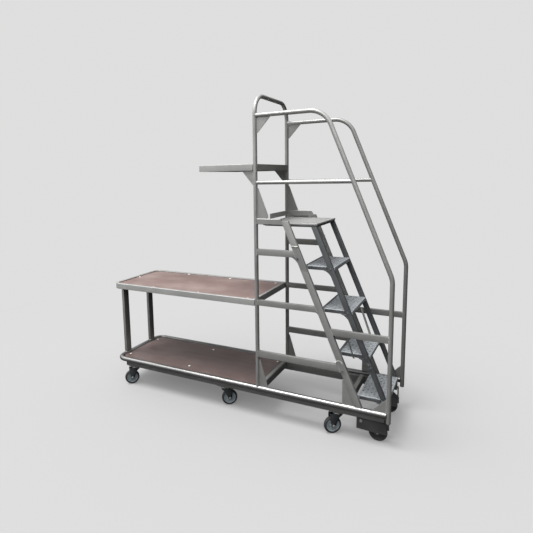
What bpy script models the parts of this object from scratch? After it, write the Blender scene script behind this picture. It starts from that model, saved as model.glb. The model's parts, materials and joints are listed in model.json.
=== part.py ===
"""Rolling picking ladder: a two-deck trolley with a five-step ladder and platform at one end.

Metres, +Z up, floor at Z = 0. X runs along the trolley: decks at -X, ladder at +X.
Y runs across it. The origin is on the floor, under the centre of the whole object.
"""

import math

import bmesh
import bpy
from mathutils import Matrix, Vector

# ---------------------------------------------------------------- driving dimensions
GAP = 0.0003                # clearance left between two pieces that touch

SIDE_Y = 0.300              # planes of the two side frames
TUBE_R = 0.015              # round posts, hoop and handrails
BUMPER_R = 0.020            # thicker round tube all round the base
BAR_THICK = 0.025           # thickness across Y of the rectangular bars

FRONT_POST_X = 1.155        # lower, vertical part of the handrails
HOOP_X = 0.218              # tall hoop between decks and ladder
BUMPER_LEFT_X = -1.150      # centre line of the bumper's left end
BUMPER_Z = 0.235
BUMPER_BEND = 0.075

BASE_RAIL_Z = (0.170, 0.230)
BASE_RAIL_Y = (0.247, 0.2795)
CROSS_RAIL_Z = (0.190, 0.247)
LOWER_DECK_Z = (0.231, 0.244)
DECK_CLEARANCE = 0.0015     # between the lower deck's edge and the bumper
UPPER_DECK_TOP = 0.916      # top of the upper deck's frame
DECK_CORNER = 0.072         # outer radius of the upper deck's free corners
DECK_FRAME_WIDTH = 0.025
DECK_FRAME_TALL = 0.047
DECK_RECESS = 0.008
BOARD_THICK = 0.012
DECK_LEFT_X = -1.158
LEG_X = -1.149
LEG_HALF = (0.012, 0.031)    # half of a leg's size along X and along Y
LEG_INSET = 0.130           # legs stand this far inside the side frames

HOOP_TOP = 2.362            # centre line of the hoop's top
HOOP_BEND = 0.130
HANDRAIL_Z = 2.218
HANDRAIL_SLOPE_TOP_X = 0.713
HANDRAIL_SLOPE_FOOT_Z = 1.144
HANDRAIL_BEND = 0.160
HANDRAIL_FOOT_Z = 0.182
KNEE_RAIL_Z = 1.760

SHELF_X = (-0.237, HOOP_X + 0.0125)
SHELF_Z = (1.845, 1.890)

STEP_RISE = 0.295           # five equal rises from the floor to the platform
PLATFORM_Z = 5 * STEP_RISE
LADDER_FRONT_X = 0.642      # front edge of the ladder at platform height
LADDER_PITCH = 2.375        # rise over run of the ladder and the braces
LADDER_HALF_WIDTH = 0.230
STRINGER_WIDE = 0.036
STRINGER_BACK = 0.012       # how far the treads stand out in front of the stringers
TREAD_DEPTH = 0.200
TREAD_TALL = 0.028
SPLICE_Z = 0.545            # joint between the ladder and its bolted foot section
LADDER_FOOT_Z = 0.300

BRACE_WIDE = 0.045
BRACE_BACK = 0.195          # the braces run this far behind the ladder's front edge
SHORT_RAIL_Z = {             # rails between the hoop and the braces
    "platform_rail": (1.468, 1.508),
    "upper_rail": (1.246, 1.291),
    "mid_rail": (0.876, 0.916),
    "lower_rail": (0.485, 0.530),
}
FRONT_RAIL_Z = (0.730, 0.772)

PLATFORM_THICK = 0.025
PLATFORM_BACK_X = HOOP_X + 0.035
TOE_BOARD_Z = (PLATFORM_Z + 0.012, PLATFORM_Z + 0.055)
TOE_BOARD_Y = (-0.150, 0.205)
TOE_BOARD_BACK_X = HOOP_X + 0.042
TOE_BOARD_FRONT_X = HOOP_X + 0.250
TOE_BOARD_THICK = 0.004

GUSSET_HALF = 0.003         # half thickness of the welded corner plates
GUSSET_TIP = 0.006          # width left at a plate's pointed end
HOOP_GUSSET = (0.070, 0.462)         # width along X, and the height its tip reaches
FRONT_GUSSET = (0.098, 0.348)
BRACE_GUSSET = (0.850, 0.430)        # X of its upright edge, and the height of its top
HANDRAIL_GUSSET = (0.108, 2.100)
SHELF_GUSSET = (0.095, 1.745)
PLATFORM_GUSSET = (0.080, 1.722)

WHEEL_R = 0.0625
WHEEL_HALF_WIDTH = 0.0165
CASTOR_TOP = 0.1645
CASTOR_TRAIL = 0.036
CASTOR_Y = 0.237
CASTOR_PAD_HALF_X = 0.050
CASTOR_PAD_Y = (CASTOR_Y - 0.039, CASTOR_Y + 0.041)
CASTOR_X = {"rear": -1.010, "middle": -0.103, "front": 0.803}
CASTOR_HEADING = {           # direction of each wheel from its swivel axis, degrees
    "rear_near": -135.0, "middle_near": 38.0, "front_near": -144.0,
    "rear_far": 150.0, "middle_far": -30.0, "front_far": 165.0,
}

SPRUNG_Y = 0.214            # the two sprung wheels under the ladder
SPRUNG_WHEEL_X = 1.077
SPRUNG_PIVOT_X = 0.968
SPRUNG_PIVOT_Z = 0.132
HOUSING_X = (0.938, 1.143)
HOUSING_HALF = 0.036
HOUSING_WALL = 0.003
HOUSING_STUD_X = 1.134      # upright stud on the outer wall of each housing
HOUSING_STUD_R = 0.005

ROUND_SEGMENTS = 24         # facets of round bars and of the spaces cut for them
SIDES = {"near": -1.0, "far": 1.0}

PAINT_GREY = (0.27, 0.27, 0.265)
LADDER_GREY = (0.12, 0.13, 0.14)
GALVANISED = (0.30, 0.33, 0.34)
PLYWOOD = (0.22, 0.14, 0.125)
DARK_STEEL = (0.05, 0.05, 0.052)
RUBBER = (0.03, 0.03, 0.032)
ZINC = (0.42, 0.43, 0.42)


# ---------------------------------------------------------------- scene and materials
def empty_scene():
    for old in list(bpy.data.objects):
        bpy.data.objects.remove(old, do_unlink=True)


def new_collection(name):
    collection = bpy.data.collections.new(name)
    bpy.context.scene.collection.children.link(collection)
    return collection


def principled(name, colour, roughness, metallic):
    material = bpy.data.materials.new(name)
    material.use_nodes = True
    shader = material.node_tree.nodes["Principled BSDF"]
    shader.inputs["Base Color"].default_value = (*colour, 1.0)
    shader.inputs["Roughness"].default_value = roughness
    shader.inputs["Metallic"].default_value = metallic
    material.diffuse_color = (*colour, 1.0)
    return material


empty_scene()
PARTS = new_collection("rolling_ladder_trolley")
CUTTERS = new_collection("cutters")


def file_under(obj, collection):
    for owner in list(obj.users_collection):
        owner.objects.unlink(obj)
    collection.objects.link(obj)


def publish(obj, name, colour, roughness=0.45, metallic=0.3):
    """Makes an object one of the trolley's own pieces."""
    obj.name = name
    obj.data.name = name
    obj.data.materials.clear()
    obj.data.materials.append(principled(name, colour, roughness, metallic))
    file_under(obj, PARTS)
    return obj


# ---------------------------------------------------------------- basic shapes
def box(low, high):
    """A box from its two corners, with its scale applied."""
    size = [b - a for a, b in zip(low, high)]
    middle = [(a + b) / 2 for a, b in zip(low, high)]
    bpy.ops.mesh.primitive_cube_add(size=1.0, location=middle)
    obj = bpy.context.object
    obj.data.transform(Matrix.Diagonal((*size, 1.0)))
    return obj


def cylinder(start, end, radius, segments=ROUND_SEGMENTS):
    """A round bar between two points."""
    start, end = Vector(start), Vector(end)
    along = end - start
    bpy.ops.mesh.primitive_cylinder_add(
        vertices=segments, radius=radius, depth=along.length, location=(start + end) / 2)
    obj = bpy.context.object
    obj.rotation_mode = "QUATERNION"
    obj.rotation_quaternion = along.to_track_quat("Z", "X")
    return obj


def as_mesh(curve_object):
    """Turns a curve into a closed mesh object in the same place."""
    bpy.context.view_layer.update()
    graph = bpy.context.evaluated_depsgraph_get()
    mesh = bpy.data.meshes.new_from_object(curve_object.evaluated_get(graph))
    bm = bmesh.new()
    bm.from_mesh(mesh)
    bmesh.ops.remove_doubles(bm, verts=bm.verts, dist=0.00001)
    bmesh.ops.recalc_face_normals(bm, faces=bm.faces)
    bm.to_mesh(mesh)
    bm.free()
    obj = bpy.data.objects.new(curve_object.name, mesh)
    obj.matrix_world = curve_object.matrix_world
    bpy.context.scene.collection.objects.link(obj)
    bpy.data.objects.remove(curve_object, do_unlink=True)
    return obj


def flat_plate(outline, thickness):
    """A filled outline with a thickness, still a curve lying in its own plane."""
    curve = bpy.data.curves.new("plate", "CURVE")
    curve.dimensions = "2D"
    curve.fill_mode = "BOTH"
    curve.extrude = thickness / 2
    spline = curve.splines.new("POLY")
    spline.points.add(len(outline) - 1)
    for point, (across, up) in zip(spline.points, outline):
        point.co = (across, up, 0.0, 1.0)
    spline.use_cyclic_u = True
    obj = bpy.data.objects.new("plate", curve)
    bpy.context.scene.collection.objects.link(obj)
    return obj


def plate_xz(outline, y_low, y_high):
    """A flat plate whose outline is a list of (x, z) points."""
    obj = flat_plate(outline, y_high - y_low)
    obj.rotation_euler = (math.pi / 2, 0.0, 0.0)
    obj.location = (0.0, (y_low + y_high) / 2, 0.0)
    return as_mesh(obj)


def plate_xy(outline, z_low, z_high):
    """A flat plate whose outline is a list of (x, y) points."""
    obj = flat_plate(outline, z_high - z_low)
    obj.location = (0.0, 0.0, (z_low + z_high) / 2)
    return as_mesh(obj)


def rounded_at_left(x_left, x_right, half_y, radius, steps=8):
    """Outline of a level plate that is square at +X and has rounded corners at -X."""
    outline = [(x_right, -half_y), (x_right, half_y)]
    for sign, start in ((1.0, 90.0), (-1.0, 180.0)):
        for i in range(steps + 1):
            angle = math.radians(start + 90.0 * i / steps)
            outline.append((x_left + radius + radius * math.cos(angle),
                            sign * (half_y - radius) + radius * math.sin(angle)))
    return outline


def rounded_path(corners, bend_radius, steps=6):
    """Corner points joined by straight runs, with an arc in place of each inner corner."""
    corners = [Vector(c) for c in corners]
    path = [corners[0]]
    for before, corner, after in zip(corners, corners[1:], corners[2:]):
        back = (before - corner).normalized()
        forward = (after - corner).normalized()
        half_angle = back.angle(forward) / 2
        centre = corner + (back + forward).normalized() * (bend_radius / math.sin(half_angle))
        first = corner + back * (bend_radius / math.tan(half_angle)) - centre
        last = corner + forward * (bend_radius / math.tan(half_angle)) - centre
        sweep = first.angle(last)
        for i in range(steps + 1):
            t = i / steps
            mix = first * math.sin((1 - t) * sweep) + last * math.sin(t * sweep)
            path.append(centre + mix / math.sin(sweep))
    path.append(corners[-1])
    return path


def tube(path, radius):
    """A round tube along a list of points, as a closed mesh."""
    curve = bpy.data.curves.new("tube", "CURVE")
    curve.dimensions = "3D"
    curve.bevel_depth = radius
    curve.bevel_resolution = 2
    curve.use_fill_caps = True
    spline = curve.splines.new("POLY")
    spline.points.add(len(path) - 1)
    for point, co in zip(spline.points, path):
        point.co = (*co, 1.0)
    obj = bpy.data.objects.new("tube", curve)
    bpy.context.scene.collection.objects.link(obj)
    return as_mesh(obj)


def boolean(obj, other, operation):
    """Cuts or joins another solid, which is filed with the cutters."""
    modifier = obj.modifiers.new(operation.lower(), "BOOLEAN")
    modifier.operation = operation
    modifier.solver = "EXACT"
    modifier.object = other
    other.hide_render = True
    other.display_type = "WIRE"
    file_under(other, CUTTERS)
    return obj


def cut(obj, *tools):
    for tool in tools:
        boolean(obj, tool, "DIFFERENCE")
    return obj


def join(obj, *others):
    for other in others:
        boolean(obj, other, "UNION")
    return obj


def smooth_round(obj):
    obj.data.shade_smooth()
    obj.data.set_sharp_from_angle(angle=math.radians(40))
    return obj


def side(y_inner, y_outer, sign):
    """Two Y values on one side of the trolley, in rising order."""
    return tuple(sorted((sign * y_inner, sign * y_outer)))


def bar_space(start, end, radius):
    """The space a round bar between two points takes up, with its gap."""
    return cylinder(start, end, (radius + GAP) / math.cos(math.pi / ROUND_SEGMENTS))


def post_space(x, sign):
    """The space of a vertical post, from below the floor to above the hoop."""
    return bar_space((x, sign * SIDE_Y, -0.05), (x, sign * SIDE_Y, 2.50), TUBE_R)


def ladder_x(z, back=0.0):
    """X of the ladder's front edge at a height, moved back by some distance."""
    return LADDER_FRONT_X + (PLATFORM_Z - z) / LADDER_PITCH - back


def sloping_bar(z_low, z_high, back, wide, y_low, y_high):
    """A bar parallel to the ladder, with level ends; back is to its front edge."""
    level_width = wide * math.hypot(1.0, LADDER_PITCH) / LADDER_PITCH
    outline = [
        (ladder_x(z_low, back), z_low),
        (ladder_x(z_high, back), z_high),
        (ladder_x(z_high, back + level_width), z_high),
        (ladder_x(z_low, back + level_width), z_low),
    ]
    return plate_xz(outline, y_low, y_high)


BUMPER_FRONT_X = FRONT_POST_X - TUBE_R - GAP
DECK_RIGHT_X = HOOP_X - TUBE_R - GAP
HOOP_FRONT_EDGE = HOOP_X + TUBE_R + GAP
SIDE_BAR_Y = (SIDE_Y - BAR_THICK / 2, SIDE_Y + BAR_THICK / 2)
BRACE_LEVEL_WIDE = BRACE_WIDE * math.hypot(1.0, LADDER_PITCH) / LADDER_PITCH
BRACE_FRONT_BACK = BRACE_BACK - BRACE_LEVEL_WIDE / 2
BRACE_REAR_BACK = BRACE_BACK + BRACE_LEVEL_WIDE / 2
FOOT_Z = BUMPER_Z + BUMPER_R * 0.6   # how low the uprights reach on to the bumper


# ---------------------------------------------------------------- base frame
def gusset(outline, sign):
    """A welded corner plate in the plane of one side frame."""
    centre = sign * SIDE_Y
    return plate_xz(outline, centre - GUSSET_HALF, centre + GUSSET_HALF)


def base_gussets(sign):
    """Plates that stand on the bumper: hoop foot, brace foot and front post."""
    edge = HOOP_FRONT_EDGE
    wide, tip = HOOP_GUSSET
    hoop = gusset([(edge, FOOT_Z), (edge + wide, FOOT_Z),
                   (edge + GUSSET_TIP, tip), (edge, tip)], sign)
    wide, tip = FRONT_GUSSET
    front = gusset([(BUMPER_FRONT_X, FOOT_Z), (BUMPER_FRONT_X, tip),
                    (BUMPER_FRONT_X - wide, FOOT_Z)], sign)
    upright_x, top = BRACE_GUSSET
    behind = BRACE_REAR_BACK + GAP
    brace = gusset([(upright_x, FOOT_Z), (ladder_x(FOOT_Z, behind), FOOT_Z),
                    (ladder_x(top, behind), top), (upright_x, top)], sign)
    return hoop, front, brace


def build_base():
    corners = [
        (BUMPER_FRONT_X, -SIDE_Y, BUMPER_Z),
        (BUMPER_LEFT_X, -SIDE_Y, BUMPER_Z),
        (BUMPER_LEFT_X, SIDE_Y, BUMPER_Z),
        (BUMPER_FRONT_X, SIDE_Y, BUMPER_Z),
    ]
    bumper = tube(rounded_path(corners, BUMPER_BEND), BUMPER_R)
    for sign in SIDES.values():
        join(bumper, *base_gussets(sign))
    publish(bumper, "bumper_tube", PAINT_GREY)

    bend_end = BUMPER_LEFT_X + BUMPER_BEND
    for name, sign in SIDES.items():
        y_low, y_high = side(*BASE_RAIL_Y, sign)
        rail = box((bend_end - 0.003, y_low, BASE_RAIL_Z[0]),
                   (FRONT_POST_X - 0.030, y_high, BASE_RAIL_Z[1]))
        pad_y = side(*CASTOR_PAD_Y, sign)
        for x in CASTOR_X.values():
            join(rail, box((x - CASTOR_PAD_HALF_X, pad_y[0], CASTOR_TOP + GAP),
                           (x + CASTOR_PAD_HALF_X, pad_y[1], BASE_RAIL_Z[0] + 0.001)))
        publish(rail, f"base_rail_{name}", PAINT_GREY)

    inner_y = BASE_RAIL_Y[0] - GAP
    cross_rails = {
        "base_rail_end": (bend_end - 0.030, 0.036, BASE_RAIL_Z),
        "base_rail_middle": (HOOP_X - 0.018, 0.032, CROSS_RAIL_Z),
        "base_rail_front": (BRACE_GUSSET[0], 0.030, CROSS_RAIL_Z),
    }
    for name, (x, width, (z_low, z_high)) in cross_rails.items():
        rail = box((x, -inner_y, z_low), (x + width, inner_y, z_high))
        publish(rail, name, PAINT_GREY)


# ---------------------------------------------------------------- decks
def build_decks():
    inset = BUMPER_R + DECK_CLEARANCE
    outline = rounded_at_left(BUMPER_LEFT_X + inset, HOOP_X - 0.018 - GAP, SIDE_Y - inset,
                              BUMPER_BEND - inset)
    publish(plate_xy(outline, *LOWER_DECK_Z), "lower_deck", PLYWOOD, 0.35, 0.0)

    outer_y = SIDE_BAR_Y[1]
    frame_low = UPPER_DECK_TOP - DECK_FRAME_TALL
    frame = plate_xy(rounded_at_left(DECK_LEFT_X, DECK_RIGHT_X, outer_y, DECK_CORNER),
                     frame_low, UPPER_DECK_TOP)
    inner_y = outer_y - DECK_FRAME_WIDTH
    inner_x = (DECK_LEFT_X + DECK_FRAME_WIDTH, DECK_RIGHT_X - 0.022)
    corner = DECK_CORNER - DECK_FRAME_WIDTH
    cut(frame, plate_xy(rounded_at_left(*inner_x, inner_y, corner),
                        frame_low - 0.05, UPPER_DECK_TOP + 0.05))
    publish(frame, "upper_deck_frame", PAINT_GREY)

    board_top = UPPER_DECK_TOP - DECK_RECESS
    outline = rounded_at_left(inner_x[0] + GAP, inner_x[1] - GAP, inner_y - GAP, corner - GAP)
    publish(plate_xy(outline, board_top - BOARD_THICK, board_top), "upper_deck", PLYWOOD, 0.3, 0.0)

    leg_y = SIDE_Y - LEG_INSET
    for name, sign in SIDES.items():
        leg = box((LEG_X - LEG_HALF[0], sign * leg_y - LEG_HALF[1], BUMPER_Z),
                  (LEG_X + LEG_HALF[0], sign * leg_y + LEG_HALF[1],
                   UPPER_DECK_TOP - DECK_FRAME_TALL - GAP))
        cut(leg, bar_space((BUMPER_LEFT_X, -0.29, BUMPER_Z), (BUMPER_LEFT_X, 0.29, BUMPER_Z),
                           BUMPER_R))
        cut(leg, box((LEG_X - 0.05, -0.3, 0.20), (LEG_X + 0.05, 0.3, FOOT_Z)))
        publish(leg, f"leg_{name}", PAINT_GREY)


# ---------------------------------------------------------------- hoop, handrails, shelf
def build_hoop():
    corners = [
        (HOOP_X, -SIDE_Y, BUMPER_Z), (HOOP_X, -SIDE_Y, HOOP_TOP),
        (HOOP_X, SIDE_Y, HOOP_TOP), (HOOP_X, SIDE_Y, BUMPER_Z),
    ]
    hoop = tube(rounded_path(corners, HOOP_BEND), TUBE_R)
    for sign in SIDES.values():
        y = sign * SIDE_Y
        cut(hoop, bar_space((HOOP_X - 0.1, y, BUMPER_Z), (HOOP_X + 0.1, y, BUMPER_Z), BUMPER_R))
    cut(hoop, box((HOOP_X - 0.1, -0.4, 0.20), (HOOP_X + 0.1, 0.4, FOOT_Z)))
    publish(smooth_round(hoop), "hoop", PAINT_GREY)


def slope_x(z):
    """X of the handrails' sloping run at a height."""
    run = FRONT_POST_X - HANDRAIL_SLOPE_TOP_X
    return HANDRAIL_SLOPE_TOP_X + run * (HANDRAIL_Z - z) / (HANDRAIL_Z - HANDRAIL_SLOPE_FOOT_Z)


def build_handrails():
    for name, sign in SIDES.items():
        y = sign * SIDE_Y
        corners = [
            (HOOP_X, y, HANDRAIL_Z), (HANDRAIL_SLOPE_TOP_X, y, HANDRAIL_Z),
            (FRONT_POST_X, y, HANDRAIL_SLOPE_FOOT_Z), (FRONT_POST_X, y, HANDRAIL_FOOT_Z),
        ]
        rail = tube(rounded_path(corners, HANDRAIL_BEND), TUBE_R)
        edge = HOOP_FRONT_EDGE
        top = HANDRAIL_Z - TUBE_R / 2
        wide, tip = HANDRAIL_GUSSET
        join(rail, gusset([(edge, top), (edge, tip), (edge + GUSSET_TIP, tip),
                           (edge + wide, top)], sign))
        cut(rail, post_space(HOOP_X, sign))
        publish(smooth_round(rail), f"handrail_{name}", PAINT_GREY)

        knee = tube([(HOOP_X, y, KNEE_RAIL_Z), (slope_x(KNEE_RAIL_Z) + 0.02, y, KNEE_RAIL_Z)],
                    TUBE_R * 0.9)
        cut(knee, post_space(HOOP_X, sign))
        slope_dir = Vector((FRONT_POST_X - HANDRAIL_SLOPE_TOP_X, 0.0,
                            HANDRAIL_SLOPE_FOOT_Z - HANDRAIL_Z)).normalized()
        meet = Vector((slope_x(KNEE_RAIL_Z), y, KNEE_RAIL_Z))
        cut(knee, bar_space(meet - slope_dir * 0.1, meet + slope_dir * 0.1, TUBE_R))
        cut(knee, box((meet.x, y - 0.05, KNEE_RAIL_Z - 0.05),
                      (meet.x + 0.10, y + 0.05, KNEE_RAIL_Z + 0.05)))
        publish(smooth_round(knee), f"knee_rail_{name}", PAINT_GREY)


def build_top_shelf():
    outer_y = SIDE_BAR_Y[1]
    between_y = SIDE_Y - TUBE_R - GAP
    shelf = box((SHELF_X[0], -outer_y, SHELF_Z[0]), (DECK_RIGHT_X, outer_y, SHELF_Z[1]))
    join(shelf, box((HOOP_X - TUBE_R - 0.01, -between_y, SHELF_Z[0]),
                    (SHELF_X[1], between_y, SHELF_Z[1])))
    pocket_y = outer_y - BAR_THICK
    cut(shelf, box((SHELF_X[0] + 0.025, -pocket_y, SHELF_Z[0] - 0.02),
                   (SHELF_X[1] - 0.025, pocket_y, SHELF_Z[1] - 0.003)))
    edge = DECK_RIGHT_X
    top = SHELF_Z[0] + 0.005
    wide, tip = SHELF_GUSSET
    for sign in SIDES.values():
        join(shelf, gusset([(edge, top), (edge, tip), (edge - GUSSET_TIP, tip),
                            (edge - wide, top)], sign))
    publish(shelf, "top_shelf", PAINT_GREY)


# ---------------------------------------------------------------- side frames
def build_side_frames():
    for name, sign in SIDES.items():
        y_low, y_high = side(*SIDE_BAR_Y, sign)
        brace = sloping_bar(BUMPER_Z, PLATFORM_Z + 0.020, BRACE_FRONT_BACK, BRACE_WIDE,
                            y_low, y_high)
        y = sign * SIDE_Y
        cut(brace, bar_space((0.8, y, BUMPER_Z), (1.1, y, BUMPER_Z), BUMPER_R))
        cut(brace, box((0.8, y - 0.05, 0.20), (1.1, y + 0.05, FOOT_Z)))
        publish(brace, f"side_brace_{name}", PAINT_GREY)

        back = BRACE_REAR_BACK + GAP
        for rail_name, (z_low, z_high) in SHORT_RAIL_Z.items():
            rail = plate_xz([(HOOP_X, z_low), (ladder_x(z_low, back), z_low),
                             (ladder_x(z_high, back), z_high), (HOOP_X, z_high)], y_low, y_high)
            if rail_name == "platform_rail":
                join(rail, platform_gusset(z_high, sign))
            cut(rail, post_space(HOOP_X, sign))
            cut(rail, box((HOOP_X - 0.05, y - 0.05, z_low - 0.01),
                          (HOOP_X + 0.002, y + 0.05, z_high + 0.01)))
            publish(rail, f"{rail_name}_{name}", PAINT_GREY)

        z_low, z_high = FRONT_RAIL_Z
        ahead = BRACE_FRONT_BACK - GAP
        front = plate_xz([(ladder_x(z_low, ahead), z_low), (FRONT_POST_X, z_low),
                          (FRONT_POST_X, z_high), (ladder_x(z_high, ahead), z_high)],
                         y_low, y_high)
        cut(front, post_space(FRONT_POST_X, sign))
        cut(front, box((FRONT_POST_X - 0.002, y - 0.05, z_low - 0.01),
                       (FRONT_POST_X + 0.05, y + 0.05, z_high + 0.01)))
        publish(front, f"front_rail_{name}", PAINT_GREY)


def platform_gusset(rail_top, sign):
    """The tall plate between the hoop and the top of the platform rail."""
    edge = HOOP_FRONT_EDGE
    wide, tip = PLATFORM_GUSSET
    return gusset([(edge, rail_top - 0.010), (edge + wide, rail_top - 0.010),
                   (edge + wide, rail_top + 0.022), (edge + GUSSET_TIP, tip), (edge, tip)], sign)


# ---------------------------------------------------------------- platform and ladder
BEARER_HALF = SIDE_BAR_Y[0] - GAP    # cross bearers reach to just inside the side frames


def build_platform():
    plate = box((PLATFORM_BACK_X, -LADDER_HALF_WIDTH, PLATFORM_Z - PLATFORM_THICK),
                (LADDER_FRONT_X, LADDER_HALF_WIDTH, PLATFORM_Z))
    for x in (HOOP_X + 0.050, ladder_x(PLATFORM_Z, BRACE_BACK) - 0.012):
        join(plate, box((x, -BEARER_HALF, PLATFORM_Z - 0.015),
                        (x + 0.024, BEARER_HALF, PLATFORM_Z - 0.003)))
    publish(plate, "platform", GALVANISED, 0.45, 0.6)

    low, high = TOE_BOARD_Z
    near_y, far_y = TOE_BOARD_Y
    back_x, front_x = TOE_BOARD_BACK_X, TOE_BOARD_FRONT_X
    toe = box((back_x, near_y, low), (back_x + TOE_BOARD_THICK, far_y, high))
    join(toe, plate_xz([(back_x, low), (front_x, low), (front_x + 0.012, low + 0.018),
                        (front_x - 0.010, high), (back_x, high)],
                       far_y - TOE_BOARD_THICK, far_y))
    tab = 0.020
    for y in (near_y, far_y - tab):
        join(toe, box((back_x, y, PLATFORM_Z + GAP),
                      (back_x + TOE_BOARD_THICK, y + tab, low + 0.004)))
    join(toe, box((front_x - tab, far_y - TOE_BOARD_THICK, PLATFORM_Z + GAP),
                  (front_x, far_y, low + 0.004)))
    publish(toe, "toe_board", LADDER_GREY)


def build_ladder():
    inner = LADDER_HALF_WIDTH - BAR_THICK
    tread_half = inner - GAP
    lowest = 4
    for name, sign in SIDES.items():
        y_low, y_high = side(inner, LADDER_HALF_WIDTH, sign)
        stringer = sloping_bar(SPLICE_Z + GAP, PLATFORM_Z - PLATFORM_THICK - GAP,
                               STRINGER_BACK, STRINGER_WIDE, y_low, y_high)
        publish(stringer, f"ladder_stringer_{name}", LADDER_GREY)
        foot_wide = STRINGER_WIDE * 0.85
        foot = sloping_bar(LADDER_FOOT_Z, SPLICE_Z, STRINGER_BACK, foot_wide, y_low, y_high)
        plate_y = side(LADDER_HALF_WIDTH - 0.001, LADDER_HALF_WIDTH + 0.005, sign)
        join(foot, sloping_bar(SPLICE_Z - 0.045, SPLICE_Z - 0.001, STRINGER_BACK, foot_wide,
                               *plate_y))
        publish(foot, f"ladder_foot_{name}", LADDER_GREY)

    for step in range(1, lowest + 1):
        z_top = PLATFORM_Z - step * STEP_RISE
        front = ladder_x(z_top, 0.002)
        back_x = front - TREAD_DEPTH
        tread = box((back_x, -tread_half, z_top - TREAD_TALL), (front, tread_half, z_top))
        if step < lowest:
            join(tread, box((back_x - 0.020, -BEARER_HALF, z_top - TREAD_TALL),
                            (back_x + 0.001, BEARER_HALF, z_top - 0.004)))
        publish(tread, f"tread_{step}", GALVANISED, 0.4, 0.7)


def build_tie_rod():
    """Thin stay from the near front rail down to the near end of the third step."""
    top = Vector((HOOP_X + 0.645, -SIDE_Y + BAR_THICK / 2 + 0.006, 0.760))
    foot = Vector((HOOP_X + 0.690, -LADDER_HALF_WIDTH - 0.006, 0.566))
    publish(smooth_round(cylinder(top, foot, 0.005, 12)), "tie_rod", ZINC, 0.35, 0.8)


# ---------------------------------------------------------------- castors
def wheel_mesh():
    """Rubber-tyred wheel turned about the Y axis, centred on its own origin."""
    half = WHEEL_HALF_WIDTH
    bore = 0.0058
    one_side = [(bore, half), (0.018, half), (0.021, half - 0.005), (0.046, half - 0.005),
                (0.049, half - 0.001), (0.058, half - 0.001), (WHEEL_R, half - 0.007)]
    profile = one_side + [(r, -y) for r, y in reversed(one_side)]
    mesh = bpy.data.meshes.new("wheel_profile")
    verts = [(r, y, 0.0) for r, y in profile]
    edges = [(i, (i + 1) % len(verts)) for i in range(len(verts))]
    mesh.from_pydata(verts, edges, [])
    obj = bpy.data.objects.new("wheel", mesh)
    bpy.context.scene.collection.objects.link(obj)
    screw = obj.modifiers.new("turn", "SCREW")
    screw.axis = "Y"
    screw.steps = 28
    screw.render_steps = 28
    screw.use_merge_vertices = True
    screw.merge_threshold = 0.00001
    bpy.context.view_layer.update()
    graph = bpy.context.evaluated_depsgraph_get()
    turned = bpy.data.meshes.new_from_object(obj.evaluated_get(graph))
    bm = bmesh.new()
    bm.from_mesh(turned)
    bmesh.ops.remove_doubles(bm, verts=bm.verts, dist=0.00001)
    bmesh.ops.recalc_face_normals(bm, faces=bm.faces)
    bm.to_mesh(turned)
    bm.free()
    bpy.data.objects.remove(obj, do_unlink=True)
    return turned


def empty_at(name, location, heading=0.0):
    """An empty at a point, turned about Z."""
    holder = bpy.data.objects.new(name, None)
    holder.location = location
    holder.rotation_euler = (0.0, 0.0, math.radians(heading))
    bpy.context.scene.collection.objects.link(holder)
    return holder


def put_under(child, parent, offset=(0.0, 0.0, 0.0)):
    child.parent = parent
    child.matrix_parent_inverse = Matrix.Identity(4)
    child.location = offset


def place_tools(obj, parent):
    """Parents a castor part's Boolean tools with it, so that they move together."""
    for modifier in obj.modifiers:
        if modifier.type == "BOOLEAN":
            modifier.object.parent = parent
            modifier.object.matrix_parent_inverse = Matrix.Identity(4)


def castor_fork():
    """Swivel head, crown, two legs and axle, about the swivel axis; the wheel trails to +X."""
    head = cylinder((0, 0, 0.150), (0, 0, CASTOR_TOP), 0.033, 20)
    join(head, box((-0.030, -0.0225, 0.145), (0.038, 0.0225, 0.1505)))
    leg = [(-0.028, 0.149), (0.060, 0.149), (0.060, 0.126), (0.050, 0.058),
           (0.040, 0.049), (0.030, 0.050), (0.022, 0.060), (-0.006, 0.120), (-0.028, 0.138)]
    for y_low, y_high in ((-0.0225, -0.0190), (0.0190, 0.0225)):
        join(head, plate_xz(leg, y_low, y_high))
    join(head, cylinder((CASTOR_TRAIL, -0.027, WHEEL_R), (CASTOR_TRAIL, 0.027, WHEEL_R),
                        0.0052, 12))
    return head


def brake_pedal():
    """Foot lever about its own pivot, reaching to +X and down beyond the wheel."""
    pedal = cylinder((0, -0.0180, 0), (0, 0.0180, 0), 0.006, 12)
    blade = plate_xz([(0.0, -0.003), (0.030, -0.010), (0.070, -0.024), (0.075, -0.021),
                      (0.071, -0.016), (0.028, -0.003), (0.0, 0.005)], -0.0180, 0.0180)
    join(pedal, blade)
    return pedal


def build_castors():
    turned = wheel_mesh()
    for end, x in CASTOR_X.items():
        for name, sign in SIDES.items():
            tag = f"{end}_{name}"
            swivel = empty_at(f"swivel_{tag}", (x, sign * CASTOR_Y, 0.0), CASTOR_HEADING[tag])
            fork = castor_fork()
            put_under(fork, swivel, fork.location.copy())
            place_tools(fork, swivel)
            publish(fork, f"castor_fork_{tag}", DARK_STEEL, 0.4, 0.6)

            wheel = bpy.data.objects.new("wheel", turned.copy())
            bpy.context.scene.collection.objects.link(wheel)
            put_under(wheel, swivel, (CASTOR_TRAIL, 0.0, WHEEL_R))
            publish(smooth_round(wheel), f"castor_wheel_{tag}", RUBBER, 0.7, 0.0)

            if end == "middle":
                hinge = empty_at(f"pedal_pivot_{tag}", (0, 0, 0))
                put_under(hinge, swivel, (0.052, 0.0, 0.137))
                pedal = brake_pedal()
                put_under(pedal, hinge, pedal.location.copy())
                place_tools(pedal, hinge)
                publish(pedal, f"brake_pedal_{tag}", DARK_STEEL, 0.6, 0.0)
    bpy.data.meshes.remove(turned)


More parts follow.
